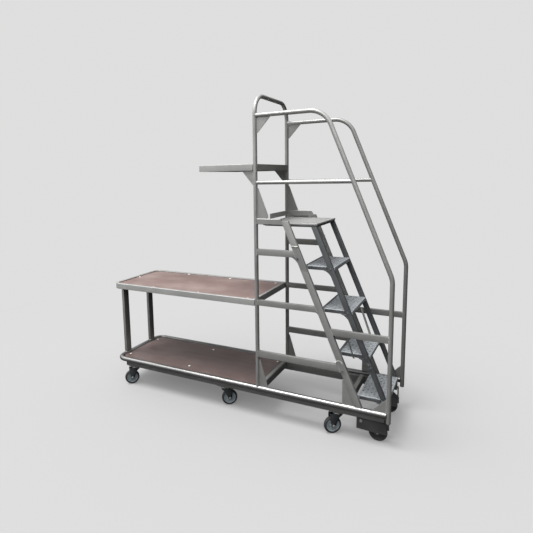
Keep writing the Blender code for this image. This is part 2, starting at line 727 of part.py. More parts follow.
# ---------------------------------------------------------------- sprung wheels at the front
def build_sprung_wheels():
    turned = wheel_mesh()
    x_low, x_high = HOUSING_X
    for name, sign in SIDES.items():
        centre = sign * SPRUNG_Y
        roof = BASE_RAIL_Z[0] - GAP
        housing = box((x_low, centre - HOUSING_HALF, roof - HOUSING_WALL),
                      (x_high - 0.060, centre + HOUSING_HALF, roof))
        wall = [(x_low, roof - 0.001), (x_low, 0.074), (x_high, 0.066),
                (x_high, 0.118), (x_high - 0.060, roof - 0.001)]
        for outer in (-1.0, 1.0):
            y_low, y_high = side(HOUSING_HALF - HOUSING_WALL, HOUSING_HALF, outer)
            join(housing, plate_xz(wall, centre + y_low, centre + y_high))
        join(housing, box((x_low, centre - HOUSING_HALF, 0.078),
                          (x_low + HOUSING_WALL, centre + HOUSING_HALF, roof - 0.001)))
        stud_y = centre + sign * (HOUSING_HALF + HOUSING_STUD_R - 0.001)
        join(housing, cylinder((HOUSING_STUD_X, stud_y, 0.100), (HOUSING_STUD_X, stud_y, 0.200),
                               HOUSING_STUD_R, 12))
        publish(housing, f"spring_housing_{name}", DARK_STEEL, 0.5, 0.4)

        holder = empty_at(f"spring_pivot_{name}", (SPRUNG_PIVOT_X, centre, SPRUNG_PIVOT_Z))
        reach = SPRUNG_WHEEL_X - SPRUNG_PIVOT_X
        drop = SPRUNG_PIVOT_Z - WHEEL_R
        arm = cylinder((0, -0.0322, 0), (0, 0.0322, 0), 0.006, 12)
        join(arm, box((-0.012, -0.0255, -0.014), (0.030, 0.0255, 0.014)))
        blade = [(-0.012, 0.013), (0.030, 0.013), (reach + 0.012, -drop + 0.010),
                 (reach + 0.012, -drop - 0.010), (reach - 0.006, -drop - 0.012), (-0.012, -0.013)]
        for y_low, y_high in ((-0.0255, -0.0215), (0.0215, 0.0255)):
            join(arm, plate_xz(blade, y_low, y_high))
        join(arm, cylinder((reach, -0.0295, -drop), (reach, 0.0295, -drop), 0.0052, 12))
        put_under(arm, holder, arm.location.copy())
        place_tools(arm, holder)
        publish(arm, f"spring_arm_{name}", DARK_STEEL, 0.45, 0.5)

        wheel = bpy.data.objects.new("wheel", turned.copy())
        bpy.context.scene.collection.objects.link(wheel)
        put_under(wheel, holder, (reach, 0.0, -drop))
        publish(smooth_round(wheel), f"spring_wheel_{name}", RUBBER, 0.75, 0.0)
    bpy.data.meshes.remove(turned)


build_base()
build_decks()
build_hoop()
build_handrails()
build_top_shelf()
build_side_frames()
build_platform()
build_ladder()
build_tie_rod()
build_castors()
build_sprung_wheels()
bpy.context.view_layer.update()
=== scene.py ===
"""Looks of the rolling picking ladder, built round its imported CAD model.

Metres, +Z up. X runs along the trolley with the ladder at +X, and Y runs across it.
"""

import json
import math
import random

import bmesh
import bpy
from mathutils import Matrix, Vector


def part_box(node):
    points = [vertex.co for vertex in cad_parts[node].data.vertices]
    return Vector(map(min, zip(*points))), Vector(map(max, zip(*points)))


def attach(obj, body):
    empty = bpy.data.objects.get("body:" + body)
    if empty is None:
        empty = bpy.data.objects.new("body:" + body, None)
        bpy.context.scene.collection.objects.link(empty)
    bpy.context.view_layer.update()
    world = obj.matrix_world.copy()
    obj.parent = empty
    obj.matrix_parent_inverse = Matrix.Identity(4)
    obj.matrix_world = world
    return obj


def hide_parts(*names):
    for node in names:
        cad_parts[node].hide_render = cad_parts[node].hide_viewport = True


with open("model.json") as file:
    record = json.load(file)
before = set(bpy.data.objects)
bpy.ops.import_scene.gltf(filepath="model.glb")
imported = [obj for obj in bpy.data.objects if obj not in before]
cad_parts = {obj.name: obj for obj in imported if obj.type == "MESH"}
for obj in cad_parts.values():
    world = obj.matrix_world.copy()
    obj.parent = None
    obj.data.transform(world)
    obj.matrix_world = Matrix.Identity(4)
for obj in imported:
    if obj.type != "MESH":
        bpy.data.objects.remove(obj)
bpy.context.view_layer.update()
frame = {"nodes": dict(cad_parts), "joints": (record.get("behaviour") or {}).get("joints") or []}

SIDES = {"near": -1.0, "far": 1.0}
WHEEL_TAGS = [f"{end}_{name}" for end in ("rear", "middle", "front") for name in SIDES]
JOINTS = {joint["name"]: joint for joint in frame["joints"]}


def joint_place(joint):
    return Vector(JOINTS[joint]["pos_m"])


def joint_axis(joint):
    return Vector(JOINTS[joint]["axis"]).normalized()


def angles(whole, steps):
    """The angles of a whole turn or part of one in equal steps, without its last one."""
    return [whole * i / steps for i in range(steps)]


def low(node):
    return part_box(node)[0]


def high(node):
    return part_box(node)[1]


# ---- sizes read from the frame
TUBE_R = (high("hoop").x - low("hoop").x) / 2
HOOP_X = (high("hoop").x + low("hoop").x) / 2
SIDE_Y = high("hoop").y - TUBE_R
HOOP_TOP = high("hoop").z - TUBE_R
BUMPER_R = -SIDE_Y - low("bumper_tube").y
BUMPER_Z = low("bumper_tube").z + BUMPER_R
BUMPER_LEFT_X = low("bumper_tube").x + BUMPER_R
FRONT_POST_X = high("handrail_near").x - TUBE_R
HANDRAIL_Z = high("handrail_near").z - TUBE_R
HANDRAIL_FOOT_Z = low("handrail_near").z
KNEE_R = (high("knee_rail_near").z - low("knee_rail_near").z) / 2
KNEE_Z = low("knee_rail_near").z + KNEE_R
PLATFORM_Z = high("platform").z
LADDER_FRONT_X = high("platform").x
LADDER_HALF = high("ladder_stringer_far").y
STRINGER_THICK = high("ladder_stringer_far").y - low("ladder_stringer_far").y
BAR_Y = (low("upper_rail_far").y, high("upper_rail_far").y)
CASTOR_TOP = high("castor_fork_rear_near").z
PAD_TOP = low("base_rail_near").z
TREAD_TALL = high("tread_4").z - low("tread_4").z
TREAD_DEPTH = high("tread_4").x - low("tread_4").x

# Sizes of the same design that a box can't give.
HOOP_BEND = 0.130
BUMPER_BEND = 0.075
HANDRAIL_BEND = 0.160
SLOPE_TOP_X = 0.713
SLOPE_FOOT_Z = 1.144
LADDER_PITCH = 2.375
STRINGER_BACK = 0.012           # how far the treads stand out in front of the stringers
STRINGER_LEVEL = 0.0391         # width of a stringer, measured level
BRACE_FRONT = 0.1706            # level distance from the ladder's front to the brace's
BRACE_REAR = 0.2194
PLATE_HALF = 0.003              # half thickness of the welded corner plates
PLATE_TIP = 0.006
STAY_R = 0.008                  # the stay on the far side of the ladder
FAR_STAY_TOP_X = 0.838
FAR_STAY_TOP_Z = 0.767
FAR_STAY_FOOT_X = 0.927
WALL = 0.002                    # folded sheet of the treads and the shelf
SHELF_RIM = 0.045               # height of the shelf's turned-down rim
RIB_PITCH = 0.150               # of the ribs under the shelf
RIB_WIDE = 0.025

WELD_R = 0.0026
BEND_STEPS = 14
TUBE_SIDES = 32


def ladder_x(z, back=0.0):
    """X of the ladder's front edge at a height, moved back by some distance."""
    return LADDER_FRONT_X + (PLATFORM_Z - z) / LADDER_PITCH - back


def slope_x(z):
    """X of the handrails' sloping run at a height."""
    run = FRONT_POST_X - SLOPE_TOP_X
    return SLOPE_TOP_X + run * (HANDRAIL_Z - z) / (HANDRAIL_Z - SLOPE_FOOT_Z)


# ---- material nodes
def add_node(tree, kind, **values):
    """A new shader node, with values for its inputs by name."""
    node = tree.nodes.new(f"ShaderNode{kind}")
    for key, value in values.items():
        node.inputs[key.replace("_", " ")].default_value = value
    return node


class Nodes:
    """Short calls for building one material's node tree."""

    def __init__(self, name, roughness, metallic):
        self.material = bpy.data.materials.new(name)
        self.material.use_nodes = True
        self.tree = self.material.node_tree
        self.shader = self.tree.nodes["Principled BSDF"]
        self.shader.inputs["Roughness"].default_value = roughness
        self.shader.inputs["Metallic"].default_value = metallic
        self.place = add_node(self.tree, "TexCoord").outputs["Object"]

    def link(self, source, target):
        self.tree.links.new(source, target)

    def stretched(self, scale):
        mapping = add_node(self.tree, "Mapping", Scale=scale)
        self.link(self.place, mapping.inputs["Vector"])
        return mapping.outputs["Vector"]

    def noise(self, scale, detail=3.0, rough=0.5, vector=None):
        node = add_node(self.tree, "TexNoise", Scale=scale, Detail=detail, Roughness=rough)
        self.link(vector or self.place, node.inputs["Vector"])
        return node.outputs["Fac"]

    def cells(self, scale):
        node = add_node(self.tree, "TexVoronoi", Scale=scale)
        self.link(self.place, node.inputs["Vector"])
        return node.outputs["Color"]

    def ramp(self, source, stops):
        """Maps a value to grey levels or colours given as (position, colour)."""
        node = add_node(self.tree, "ValToRGB")
        elements = node.color_ramp.elements
        while len(elements) < len(stops):
            elements.new(0.5)
        for element, (position, colour) in zip(elements, stops):
            element.position = position
            element.color = (*colour, 1.0) if isinstance(colour, tuple) else (colour,) * 3 + (1.0,)
        self.link(source, node.inputs["Fac"])
        return node.outputs["Color"]

    def mix(self, factor, first, second, blend="MIX"):
        node = add_node(self.tree, "Mix")
        node.data_type = "RGBA"
        node.blend_type = blend
        for value, socket in ((factor, node.inputs[0]), (first, node.inputs[6]),
                              (second, node.inputs[7])):
            if isinstance(value, bpy.types.NodeSocket):
                self.link(value, socket)
            elif isinstance(value, tuple):
                socket.default_value = (*value, 1.0)
            else:
                socket.default_value = value
        return node.outputs[2]

    def along(self, axis, start, end):
        """0 to 1 between two places on an axis, measured in the trolley at rest."""
        split = add_node(self.tree, "SeparateXYZ")
        self.link(self.place, split.inputs[0])
        span = add_node(self.tree, "MapRange", From_Min=start, From_Max=end)
        self.link(split.outputs[axis], span.inputs["Value"])
        return span.outputs["Result"]

    def bump(self, source, strength, distance):
        node = add_node(self.tree, "Bump", Strength=strength, Distance=distance)
        self.link(source, node.inputs["Height"])
        self.link(node.outputs["Normal"], self.shader.inputs["Normal"])

    def finish(self, colour, roughness=None):
        self.link(colour, self.shader.inputs["Base Color"])
        if roughness is not None:
            self.link(roughness, self.shader.inputs["Roughness"])
        return self.material


def zinc(name, light, dark, metallic, spangle, gloss=0.38, far_painted_shade=0.74, low_painted_shade=1.0):
    """Galvanised or zinc plated steel: cloudy, faintly spangled, darker towards the floor.

    The two shade factors set the tone of the far side against the near one, and that of the
    lower half against the rails at the top: both are painted shade.
    """
    n = Nodes(name, 0.4, metallic)
    cloud = n.ramp(n.noise(5.0, 4.0, 0.55), [(0.32, dark), (0.68, light)])
    spots = n.ramp(n.cells(220.0), [(0.0, 1.0 - spangle), (1.0, 1.0)])
    speckled = n.mix(1.0, cloud, spots, "MULTIPLY")
    drawn = n.noise(1.0, 2.0, 0.6, n.stretched((9.0, 260.0, 90.0)))
    lines = n.ramp(drawn, [(0.30, 0.98), (0.62, 1.0)])
    streaked = n.mix(1.0, speckled, lines, "MULTIPLY")
    scuff_mask = n.ramp(n.noise(46.0, 6.0, 0.75), [(0.66, 0.0), (0.74, 0.55)])
    scuffed = n.mix(scuff_mask, streaked, tuple(c * 0.62 for c in dark))
    # darker towards the floor, fading out by 0.32 m
    near_floor_darkening = n.ramp(n.along("Z", 0.0, 1.0), [(0.05, 0.45), (0.32, 0.0)])
    darker_near_floor = n.mix(near_floor_darkening, scuffed, tuple(c * 0.55 for c in dark))
    # painted shade: the far side darker than the near one
    far = n.ramp(n.along("Y", -BAR_Y[1], BAR_Y[1]), [(0.25, 1.0), (0.85, far_painted_shade)])
    # painted shade: darker lower down, from 2 m to its darkest below 1.1 m
    height_painted_shade = n.ramp(n.along("Z", 1.1, 2.0), [(0.0, low_painted_shade), (1.0, 1.0)])
    shaded = n.mix(1.0, n.mix(1.0, darker_near_floor, far, "MULTIPLY"), height_painted_shade, "MULTIPLY")
    n.bump(n.noise(420.0, 2.0, 0.6), 0.02, 0.0005)
    rough = n.ramp(n.noise(12.0, 3.0, 0.5), [(0.3, gloss), (0.7, gloss + 0.08)])
    return n.finish(shaded, rough)


def plywood_film(name, tone):
    """Brown phenolic film on plywood: cloudy, scuffed along the trolley, with faint grain."""
    n = Nodes(name, 0.4, 0.0)
    stops = ((0.30, (0.098, 0.066, 0.060)), (0.50, (0.122, 0.084, 0.077)),
             (0.72, (0.158, 0.118, 0.108)))
    cloud = n.ramp(n.noise(3.4, 6.0, 0.6),
                   [(at, tuple(c * tone for c in colour)) for at, colour in stops])
    grain = n.noise(1.0, 4.0, 0.65, n.stretched((6.0, 120.0, 120.0)))
    grained = n.mix(1.0, cloud, n.ramp(grain, [(0.35, 0.86), (0.65, 1.0)]), "MULTIPLY")
    wear = n.noise(1.0, 5.0, 0.7, n.stretched((2.0, 11.0, 11.0)))
    worn = n.mix(n.ramp(wear, [(0.60, 0.0), (0.80, 0.35)]), grained, (0.24, 0.20, 0.185))
    n.bump(n.noise(640.0, 2.0, 0.5), 0.14, 0.0004)
    n.shader.inputs["Specular IOR Level"].default_value = 0.55
    return n.finish(worn, n.ramp(wear, [(0.35, 0.34), (0.70, 0.55)]))


def rubber(name, colour, grit):
    n = Nodes(name, 0.7, 0.0)
    dusty = tuple(c * 2.2 + 0.02 for c in colour)
    dust = n.ramp(n.noise(30.0, 6.0, 0.7), [(0.45, 0.0), (0.78, 0.40)])
    n.bump(n.noise(grit, 3.0, 0.6), 0.22, 0.0006)
    return n.finish(n.mix(dust, colour, dusty), n.ramp(n.noise(60.0), [(0.3, 0.55), (0.7, 0.8)]))


def black_paint():
    n = Nodes("black_paint", 0.42, 0.0)
    chips = n.ramp(n.noise(70.0, 7.0, 0.8), [(0.69, 0.0), (0.74, 0.7)])
    cloud = n.ramp(n.noise(9.0, 4.0), [(0.3, (0.044, 0.044, 0.046)), (0.7, (0.070, 0.070, 0.073))])
    n.bump(n.noise(300.0, 3.0, 0.6), 0.20, 0.0006)
    rough = n.ramp(n.noise(40.0, 4.0), [(0.3, 0.36), (0.7, 0.55)])
    return n.finish(n.mix(chips, cloud, (0.17, 0.165, 0.16)), rough)


MATERIALS = {
    # the frame's zinc is darkened lower down, painted shade
    "frame_zinc": zinc("frame_zinc", (0.49, 0.49, 0.477), (0.393, 0.393, 0.382), 0.45, 0.05,
                       low_painted_shade=0.66),
    "deck_zinc": zinc("deck_zinc", (0.48, 0.48, 0.47), (0.40, 0.40, 0.39), 0.40, 0.06),
    # the bumper's far run is darkened more, painted shade
    "bumper_zinc": zinc("bumper_zinc", (0.34, 0.34, 0.335), (0.26, 0.26, 0.256), 0.95, 0.06,
                        gloss=0.30, far_painted_shade=0.45),
    # a darker zinc for the base rails, painted shadow of the bumper above them
    "base_rail_painted_shadow": zinc("base_rail_painted_shadow", (0.25, 0.25, 0.245), (0.18, 0.18, 0.175), 0.50, 0.08),
    "ladder_zinc": zinc("ladder_zinc", (0.150, 0.158, 0.165), (0.108, 0.115, 0.120), 0.40, 0.10),
    "tread_zinc": zinc("tread_zinc", (0.415, 0.440, 0.462), (0.305, 0.327, 0.345), 0.22, 0.22,
                       gloss=0.42, far_painted_shade=1.0),
    "plate_zinc": zinc("plate_zinc", (0.50, 0.50, 0.49), (0.42, 0.42, 0.41), 0.35, 0.12,
                       gloss=0.40, far_painted_shade=1.0),
    "weld": zinc("weld", (0.52, 0.52, 0.51), (0.36, 0.36, 0.35), 0.55, 0.05),
    "bolt_zinc": zinc("bolt_zinc", (0.78, 0.78, 0.75), (0.62, 0.62, 0.58), 0.80, 0.05),
    "screw_zinc": zinc("screw_zinc", (0.88, 0.88, 0.86), (0.78, 0.78, 0.76), 0.15, 0.05,
                       far_painted_shade=1.0),
    "castor_zinc": zinc("castor_zinc", (0.34, 0.37, 0.39), (0.16, 0.175, 0.19), 0.92, 0.12,
                        gloss=0.22),
    # The upper deck's film is the same film made paler, painted sheen of the bright sky on it.
    "lower_film": plywood_film("lower_film", 0.86),
    "upper_film_painted_sheen": plywood_film("upper_film_painted_sheen", 1.75),
    "tyre": rubber("tyre", (0.022, 0.022, 0.023), 500.0),
    "hub": rubber("hub", (0.24, 0.28, 0.30), 260.0),
    "plug": rubber("plug", (0.020, 0.020, 0.021), 300.0),
    "black_paint": black_paint(),
}


# ---- pieces
def piece(name, bm, material, body="frame", stands_for=(), smooth_angle=32.0):
    """Makes an object of the model from a bmesh, and rides it on a body."""
    bmesh.ops.recalc_face_normals(bm, faces=bm.faces)
    mesh = bpy.data.meshes.new(name)
    bm.to_mesh(mesh)
    bm.free()
    mesh.shade_smooth()
    mesh.set_sharp_from_angle(angle=math.radians(smooth_angle))
    obj = bpy.data.objects.new(name, mesh)
    bpy.context.scene.collection.objects.link(obj)
    mesh.materials.append(MATERIALS[material])
    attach(obj, body)
    if stands_for:
        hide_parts(*stands_for)
    return obj


def made_verts(result):
    """The new vertices among what a bmesh operator made."""
    return [v for v in result["geom"] if isinstance(v, bmesh.types.BMVert)]


def node_mesh(node):
    """The welded shape of a CAD node, with its flat faces whole again."""
    bm = bmesh.new()
    bm.from_mesh(frame["nodes"][node].data)
    bmesh.ops.remove_doubles(bm, verts=bm.verts, dist=0.00002)
    bmesh.ops.dissolve_limit(bm, angle_limit=math.radians(0.5), verts=bm.verts, edges=bm.edges)
    return bm


def round_edges(bm, width, segments=2, least_angle=35.0):
    """Bevels every edge sharper than an angle."""
    sharp = [e for e in bm.edges
             if e.is_manifold and e.calc_face_angle(0.0) > math.radians(least_angle)]
    bmesh.ops.bevel(bm, geom=sharp, offset=width, segments=segments, profile=0.6,
                    affect="EDGES", clamp_overlap=True)
    return bm


def refined(node, material, width, body="frame", segments=2):
    """A CAD node's own shape with rounded edges, standing for the node."""
    return piece(f"{node}_body", round_edges(node_mesh(node), width, segments), material, body,
                 (node,))


def add_ring(bm, centre, along, across, radius, sides):
    """A ring of vertices round a point, square to a direction."""
    third = along.cross(across)
    ring = []
    for a in angles(2 * math.pi, sides):
        ring.append(bm.verts.new(centre + across * radius * math.cos(a)
                                 + third * radius * math.sin(a)))
    return ring


def bridge(bm, first, second):
    count = len(first)
    for i in range(count):
        j = (i + 1) % count
        bm.faces.new((first[i], first[j], second[j], second[i]))


def sweep(bm, path, radius, sides, closed=False):
    """A round bar along points; radius is a number or a function of the point's index."""
    size = radius if callable(radius) else (lambda i: radius)
    count = len(path)
    across = None
    rings = []
    for i, point in enumerate(path):
        before = path[i - 1] if closed or i else path[0]
        after = path[(i + 1) % count] if closed or i < count - 1 else path[-1]
        along = (after - before).normalized()
        if across is None:
            across = along.orthogonal().normalized()
        across = (across - along * across.dot(along)).normalized()
        rings.append(add_ring(bm, point, along, across, size(i), sides))
    for first, second in zip(rings, rings[1:]):
        bridge(bm, first, second)
    if closed:
        turn = min(range(sides), key=lambda k: (rings[0][k].co - rings[-1][0].co).length)
        bridge(bm, rings[-1], rings[0][turn:] + rings[0][:turn])
    else:
        bm.faces.new(rings[0][::-1])
        bm.faces.new(rings[-1])
    return bm


def rounded_path(corners, bend_radius, steps=BEND_STEPS):
    """Corner points joined by straight runs, with an arc in place of each inner corner."""
    corners = [Vector(c) for c in corners]
    path = [corners[0]]
    for before, corner, after in zip(corners, corners[1:], corners[2:]):
        back = (before - corner).normalized()
        forward = (after - corner).normalized()
        half_angle = back.angle(forward) / 2
        centre = corner + (back + forward).normalized() * (bend_radius / math.sin(half_angle))
        first = corner + back * (bend_radius / math.tan(half_angle)) - centre
        last = corner + forward * (bend_radius / math.tan(half_angle)) - centre
        span = first.angle(last)
        for i in range(steps + 1):
            t = i / steps
            mix = first * math.sin((1 - t) * span) + last * math.sin(t * span)
            path.append(centre + mix / math.sin(span))
    path.append(corners[-1])
    return path


def plate(bm, outline, y_low, y_high, edge=0.0008):
    """A flat plate from (x, z) points, with its edges just broken."""
    made = bmesh.new()
    front = [made.verts.new((x, y_low, z)) for x, z in outline]
    back = [made.verts.new((x, y_high, z)) for x, z in outline]
    made.faces.new(front)
    made.faces.new(back[::-1])
    bridge(made, front, back)
    bmesh.ops.recalc_face_normals(made, faces=made.faces)
    round_edges(made, edge, 1)
    merge(bm, made)
    return bm


def block(bm, corner_low, corner_high, edge=0.002, segments=2):
    """A box with rounded edges."""
    made = bmesh.new()
    bmesh.ops.create_cube(made, size=1.0)
    size = Vector(corner_high) - Vector(corner_low)
    middle = (Vector(corner_high) + Vector(corner_low)) / 2
    for vert in made.verts:
        vert.co = Vector(a * b for a, b in zip(vert.co, size)) + middle
    round_edges(made, edge, segments)
    merge(bm, made)
    return bm


def merge(bm, other, matrix=None):
    """Adds another bmesh's shape to this one, moved by a matrix, and frees the other."""
    mesh = bpy.data.meshes.new("part")
    if matrix is not None:
        other.transform(matrix)
    other.to_mesh(mesh)
    other.free()
    bm.from_mesh(mesh)
    bpy.data.meshes.remove(mesh)
    return bm


def turned(bm, profile, place, steps=32):
    """A solid turned about its own Z from (radius, height) points, placed by a matrix."""
    made = bmesh.new()
    rings = []
    for radius, z in profile:
        if radius < 1e-6:
            rings.append([made.verts.new((0.0, 0.0, z))])
        else:
            rings.append(add_ring(made, Vector((0, 0, z)), Vector((0, 0, 1)),
                                  Vector((1, 0, 0)), radius, steps))
    for first, second in zip(rings, rings[1:]):
        if len(first) == 1:
            fan(made, first[0], second)
        elif len(second) == 1:
            fan(made, second[0], first)
        else:
            bridge(made, first, second)
    return merge(bm, made, place)


def fan(bm, tip, ring):
    for i in range(len(ring)):
        bm.faces.new((tip, ring[i], ring[(i + 1) % len(ring)]))


def aimed(point, direction):
    """A matrix that puts a shape's own +Z along a direction, at a point."""
    turn = Vector(direction).to_track_quat("Z", "Y").to_matrix().to_4x4()
    return Matrix.Translation(Vector(point)) @ turn


def bolt(bm, point, direction, size=0.006, nut=False):
    """Hex head on a washer, standing on a face; size is the thread's diameter."""
    place = aimed(point, direction)
    washer = size * 1.05
    thick = size * 0.2
    turned(bm, [(0.0, 0.0), (washer, 0.0), (washer, thick * 0.8), (washer * 0.94, thick),
                (0.0, thick)], place, 20)
    head = size * 0.88
    tall = thick + size * 0.65
    turned(bm, [(0.0, thick), (head, thick), (head, tall * 0.86), (head * 0.86, tall),
                (0.0, tall)], place, 6)
    if nut:
        turned(bm, [(0.0, tall), (size * 0.48, tall), (size * 0.48, tall + size * 0.28),
                    (size * 0.38, tall + size * 0.38), (0.0, tall + size * 0.38)], place, 12)
    return bm


def screw(bm, point, size=0.0085):
    """Low round screw head with a socket, seated on a board."""
    place = aimed(point, (0, 0, 1))
    turned(bm, [(0.0, -0.001), (size, -0.001), (size, 0.0010), (size * 0.80, 0.0024),
                (size * 0.35, 0.0028), (size * 0.25, 0.0004), (0.0, 0.0002)], place, 20)
    return bm


# ---- welds
RANDOM = random.Random(7)


def weld(bm, points, closed=False, radius=WELD_R):
    """A rippled bead along a run of points."""
    step = 0.003
    dense = []
    ends = points[1:] + points[:1] if closed else points[1:]
    for a, b in zip(points, ends):
        a, b = Vector(a), Vector(b)
        count = max(1, round((b - a).length / step))
        dense += [a.lerp(b, i / count) for i in range(count)]
    if not closed:
        dense.append(Vector(points[-1]))
    jitter = [radius * (1.0 + 0.22 * (-1) ** i + RANDOM.uniform(-0.12, 0.12))
              for i in range(len(dense))]
    return sweep(bm, dense, lambda i: jitter[i], 6, closed)


def weld_round_tube(bm, x, y, z, radius, towards):
    """A bead where a level round bar meets an upright tube, on the side towards +X or -X."""
    points = []
    for a in angles(2 * math.pi, 20):
        dy = radius * math.cos(a)
        reach = math.sqrt(max(TUBE_R ** 2 - dy ** 2, 0.0))
        points.append((x + towards * reach, y + dy, z + radius * math.sin(a)))
    return weld(bm, points, True)


def weld_bar_end(bm, x_at, y_low, y_high, z_low, z_high):
    """A bead round the end of a rectangular bar; x_at gives the end's X at (y, z)."""
    corners = [(y_low, z_low), (y_high, z_low), (y_high, z_high), (y_low, z_high)]
    points = []
    for (ya, za), (yb, zb) in zip(corners, corners[1:] + corners[:1]):
        for i in range(4):
            y, z = ya + (yb - ya) * i / 4, za + (zb - za) * i / 4
            points.append((x_at(y, z), y, z))
    return weld(bm, points, True)


def on_hoop(y_centre, tube_x=HOOP_X, towards=1.0):
    """X on the side of an upright tube, as a function of Y and Z."""
    return lambda y, z: tube_x + towards * math.sqrt(max(TUBE_R ** 2 - (y - y_centre) ** 2, 0.0))


# ---- tubes and corner plates
def build_tubes():
    hoop = sweep(bmesh.new(), rounded_path(
        [(HOOP_X, -SIDE_Y, BUMPER_Z), (HOOP_X, -SIDE_Y, HOOP_TOP),
         (HOOP_X, SIDE_Y, HOOP_TOP), (HOOP_X, SIDE_Y, BUMPER_Z)], HOOP_BEND),
        TUBE_R, TUBE_SIDES)
    piece("hoop_tube", hoop, "frame_zinc", stands_for=("hoop",))

    bumper = sweep(bmesh.new(), rounded_path(
        [(high("bumper_tube").x, -SIDE_Y, BUMPER_Z), (BUMPER_LEFT_X, -SIDE_Y, BUMPER_Z),
         (BUMPER_LEFT_X, SIDE_Y, BUMPER_Z), (high("bumper_tube").x, SIDE_Y, BUMPER_Z)],
        BUMPER_BEND), BUMPER_R, 40)
    piece("bumper_round_tube", bumper, "bumper_zinc", stands_for=("bumper_tube",))

    plugs = bmesh.new()
    for name, sign in SIDES.items():
        y = sign * SIDE_Y
        rail = sweep(bmesh.new(), rounded_path(
            [(HOOP_X, y, HANDRAIL_Z), (SLOPE_TOP_X, y, HANDRAIL_Z),
             (FRONT_POST_X, y, SLOPE_FOOT_Z), (FRONT_POST_X, y, HANDRAIL_FOOT_Z + 0.003)],
            HANDRAIL_BEND), TUBE_R, TUBE_SIDES)
        piece(f"handrail_tube_{name}", rail, "frame_zinc", stands_for=(f"handrail_{name}",))
        knee = sweep(bmesh.new(), [Vector((HOOP_X, y, KNEE_Z)),
                                   Vector((slope_x(KNEE_Z), y, KNEE_Z))], KNEE_R, TUBE_SIDES)
        piece(f"knee_rail_tube_{name}", knee, "frame_zinc", stands_for=(f"knee_rail_{name}",))
        turned(plugs, [(0.0, 0.0), (0.7 * TUBE_R, 0.0), (0.96 * TUBE_R, 0.0015),
                       (TUBE_R, 0.0035), (0.85 * TUBE_R, 0.006), (0.0, 0.006)],
               Matrix.Translation((FRONT_POST_X, y, HANDRAIL_FOOT_Z)))
    piece("post_end_plugs", plugs, "plug")


def corner_plates():
    """Outlines of the plates welded between the tubes and bars of one side frame."""
    foot = BUMPER_Z + BUMPER_R * 0.6
    hoop_foot_top = 0.462
    front_foot_top = 0.348
    brace_top = 0.430
    handrail_plate_low = 2.100
    edge = HOOP_X + TUBE_R
    tip = edge + PLATE_TIP
    rear = HOOP_X - TUBE_R
    front = FRONT_POST_X - TUBE_R
    brace_x = low("base_rail_front").x
    top = HANDRAIL_Z - TUBE_R / 2
    shelf_low = low("top_shelf").z
    shelf_seam = high("top_shelf").z - SHELF_RIM + 0.005
    wing = edge + 0.080
    wing_low, wing_high = PLATFORM_Z + 0.023, PLATFORM_Z + 0.055
    rail_top = high("platform_rail_near").z
    return {
        "hoop_foot": [(edge, foot), (edge + 0.070, foot), (tip, hoop_foot_top),
                      (edge, hoop_foot_top)],
        "front_foot": [(front, foot), (front, front_foot_top), (front - 0.098, foot)],
        "brace_foot": [(brace_x, foot), (ladder_x(foot, BRACE_REAR), foot),
                       (ladder_x(brace_top, BRACE_REAR), brace_top), (brace_x, brace_top)],
        "handrail": [(edge, top), (edge, handrail_plate_low), (tip, handrail_plate_low),
                     (edge + 0.108, top)],
        "shelf": [(rear, shelf_seam), (rear, shelf_low), (rear - PLATE_TIP, shelf_low),
                  (rear - 0.095, shelf_seam)],
        "platform": [(edge, wing_low), (wing, wing_low), (wing, wing_high), (tip, rail_top),
                     (edge, rail_top)],
    }


# The two corners of each plate between which it is welded.
PLATE_SEAMS = {"hoop_foot": (0, 3), "front_foot": (0, 1), "brace_foot": (1, 2),
               "handrail": (0, 1), "shelf": (0, 1), "platform": (0, 4)}


def build_corner_plates():
    plates = corner_plates()
    for name, sign in SIDES.items():
        bm = bmesh.new()
        seams = bmesh.new()
        y = sign * SIDE_Y
        for outline in plates.values():
            plate(bm, outline, y - PLATE_HALF, y + PLATE_HALF)
        for key, ends in PLATE_SEAMS.items():
            for face in (-PLATE_HALF, PLATE_HALF):
                weld(seams, [(x, y + face, z) for x, z in (plates[key][i] for i in ends)])
        piece(f"corner_plates_{name}", bm, "frame_zinc")
        piece(f"plate_welds_{name}", seams, "weld")


# ---- side frames
RAILS = ("platform_rail", "upper_rail", "mid_rail", "lower_rail")
PLATFORM_BAR_TALL = 0.040
BAR_TALL = 0.045                 # of the other rails, at most
BAR_EDGE = 0.0025                # rounding of the bars' edges
# Heights of the curved corner plates under the rails' ends, and half their thickness.
FILLETS = {"upper_rail": 0.070, "mid_rail": 0.036, "platform_rail": 0.030}
FILLET_HALF = 0.009


def concave_corner(reach_x, reach_z, steps=8):
    """Points of a plate that fills a corner at (0, 0), its free edge curving inwards."""
    points = [(0.0, 0.0)]
    for i in range(steps + 1):
        a = math.pi / 2 * i / steps
        points.append((reach_x * (1 - math.sin(a)), reach_z * (1 - math.cos(a))))
    return points


def rail_heights(node):
    """Bottom and top of a side rail's bar, without the platform rail's tall plate."""
    bottom, top = low(node).z, high(node).z
    if node.startswith("platform"):
        top = bottom + PLATFORM_BAR_TALL
    return bottom, min(top, bottom + BAR_TALL)


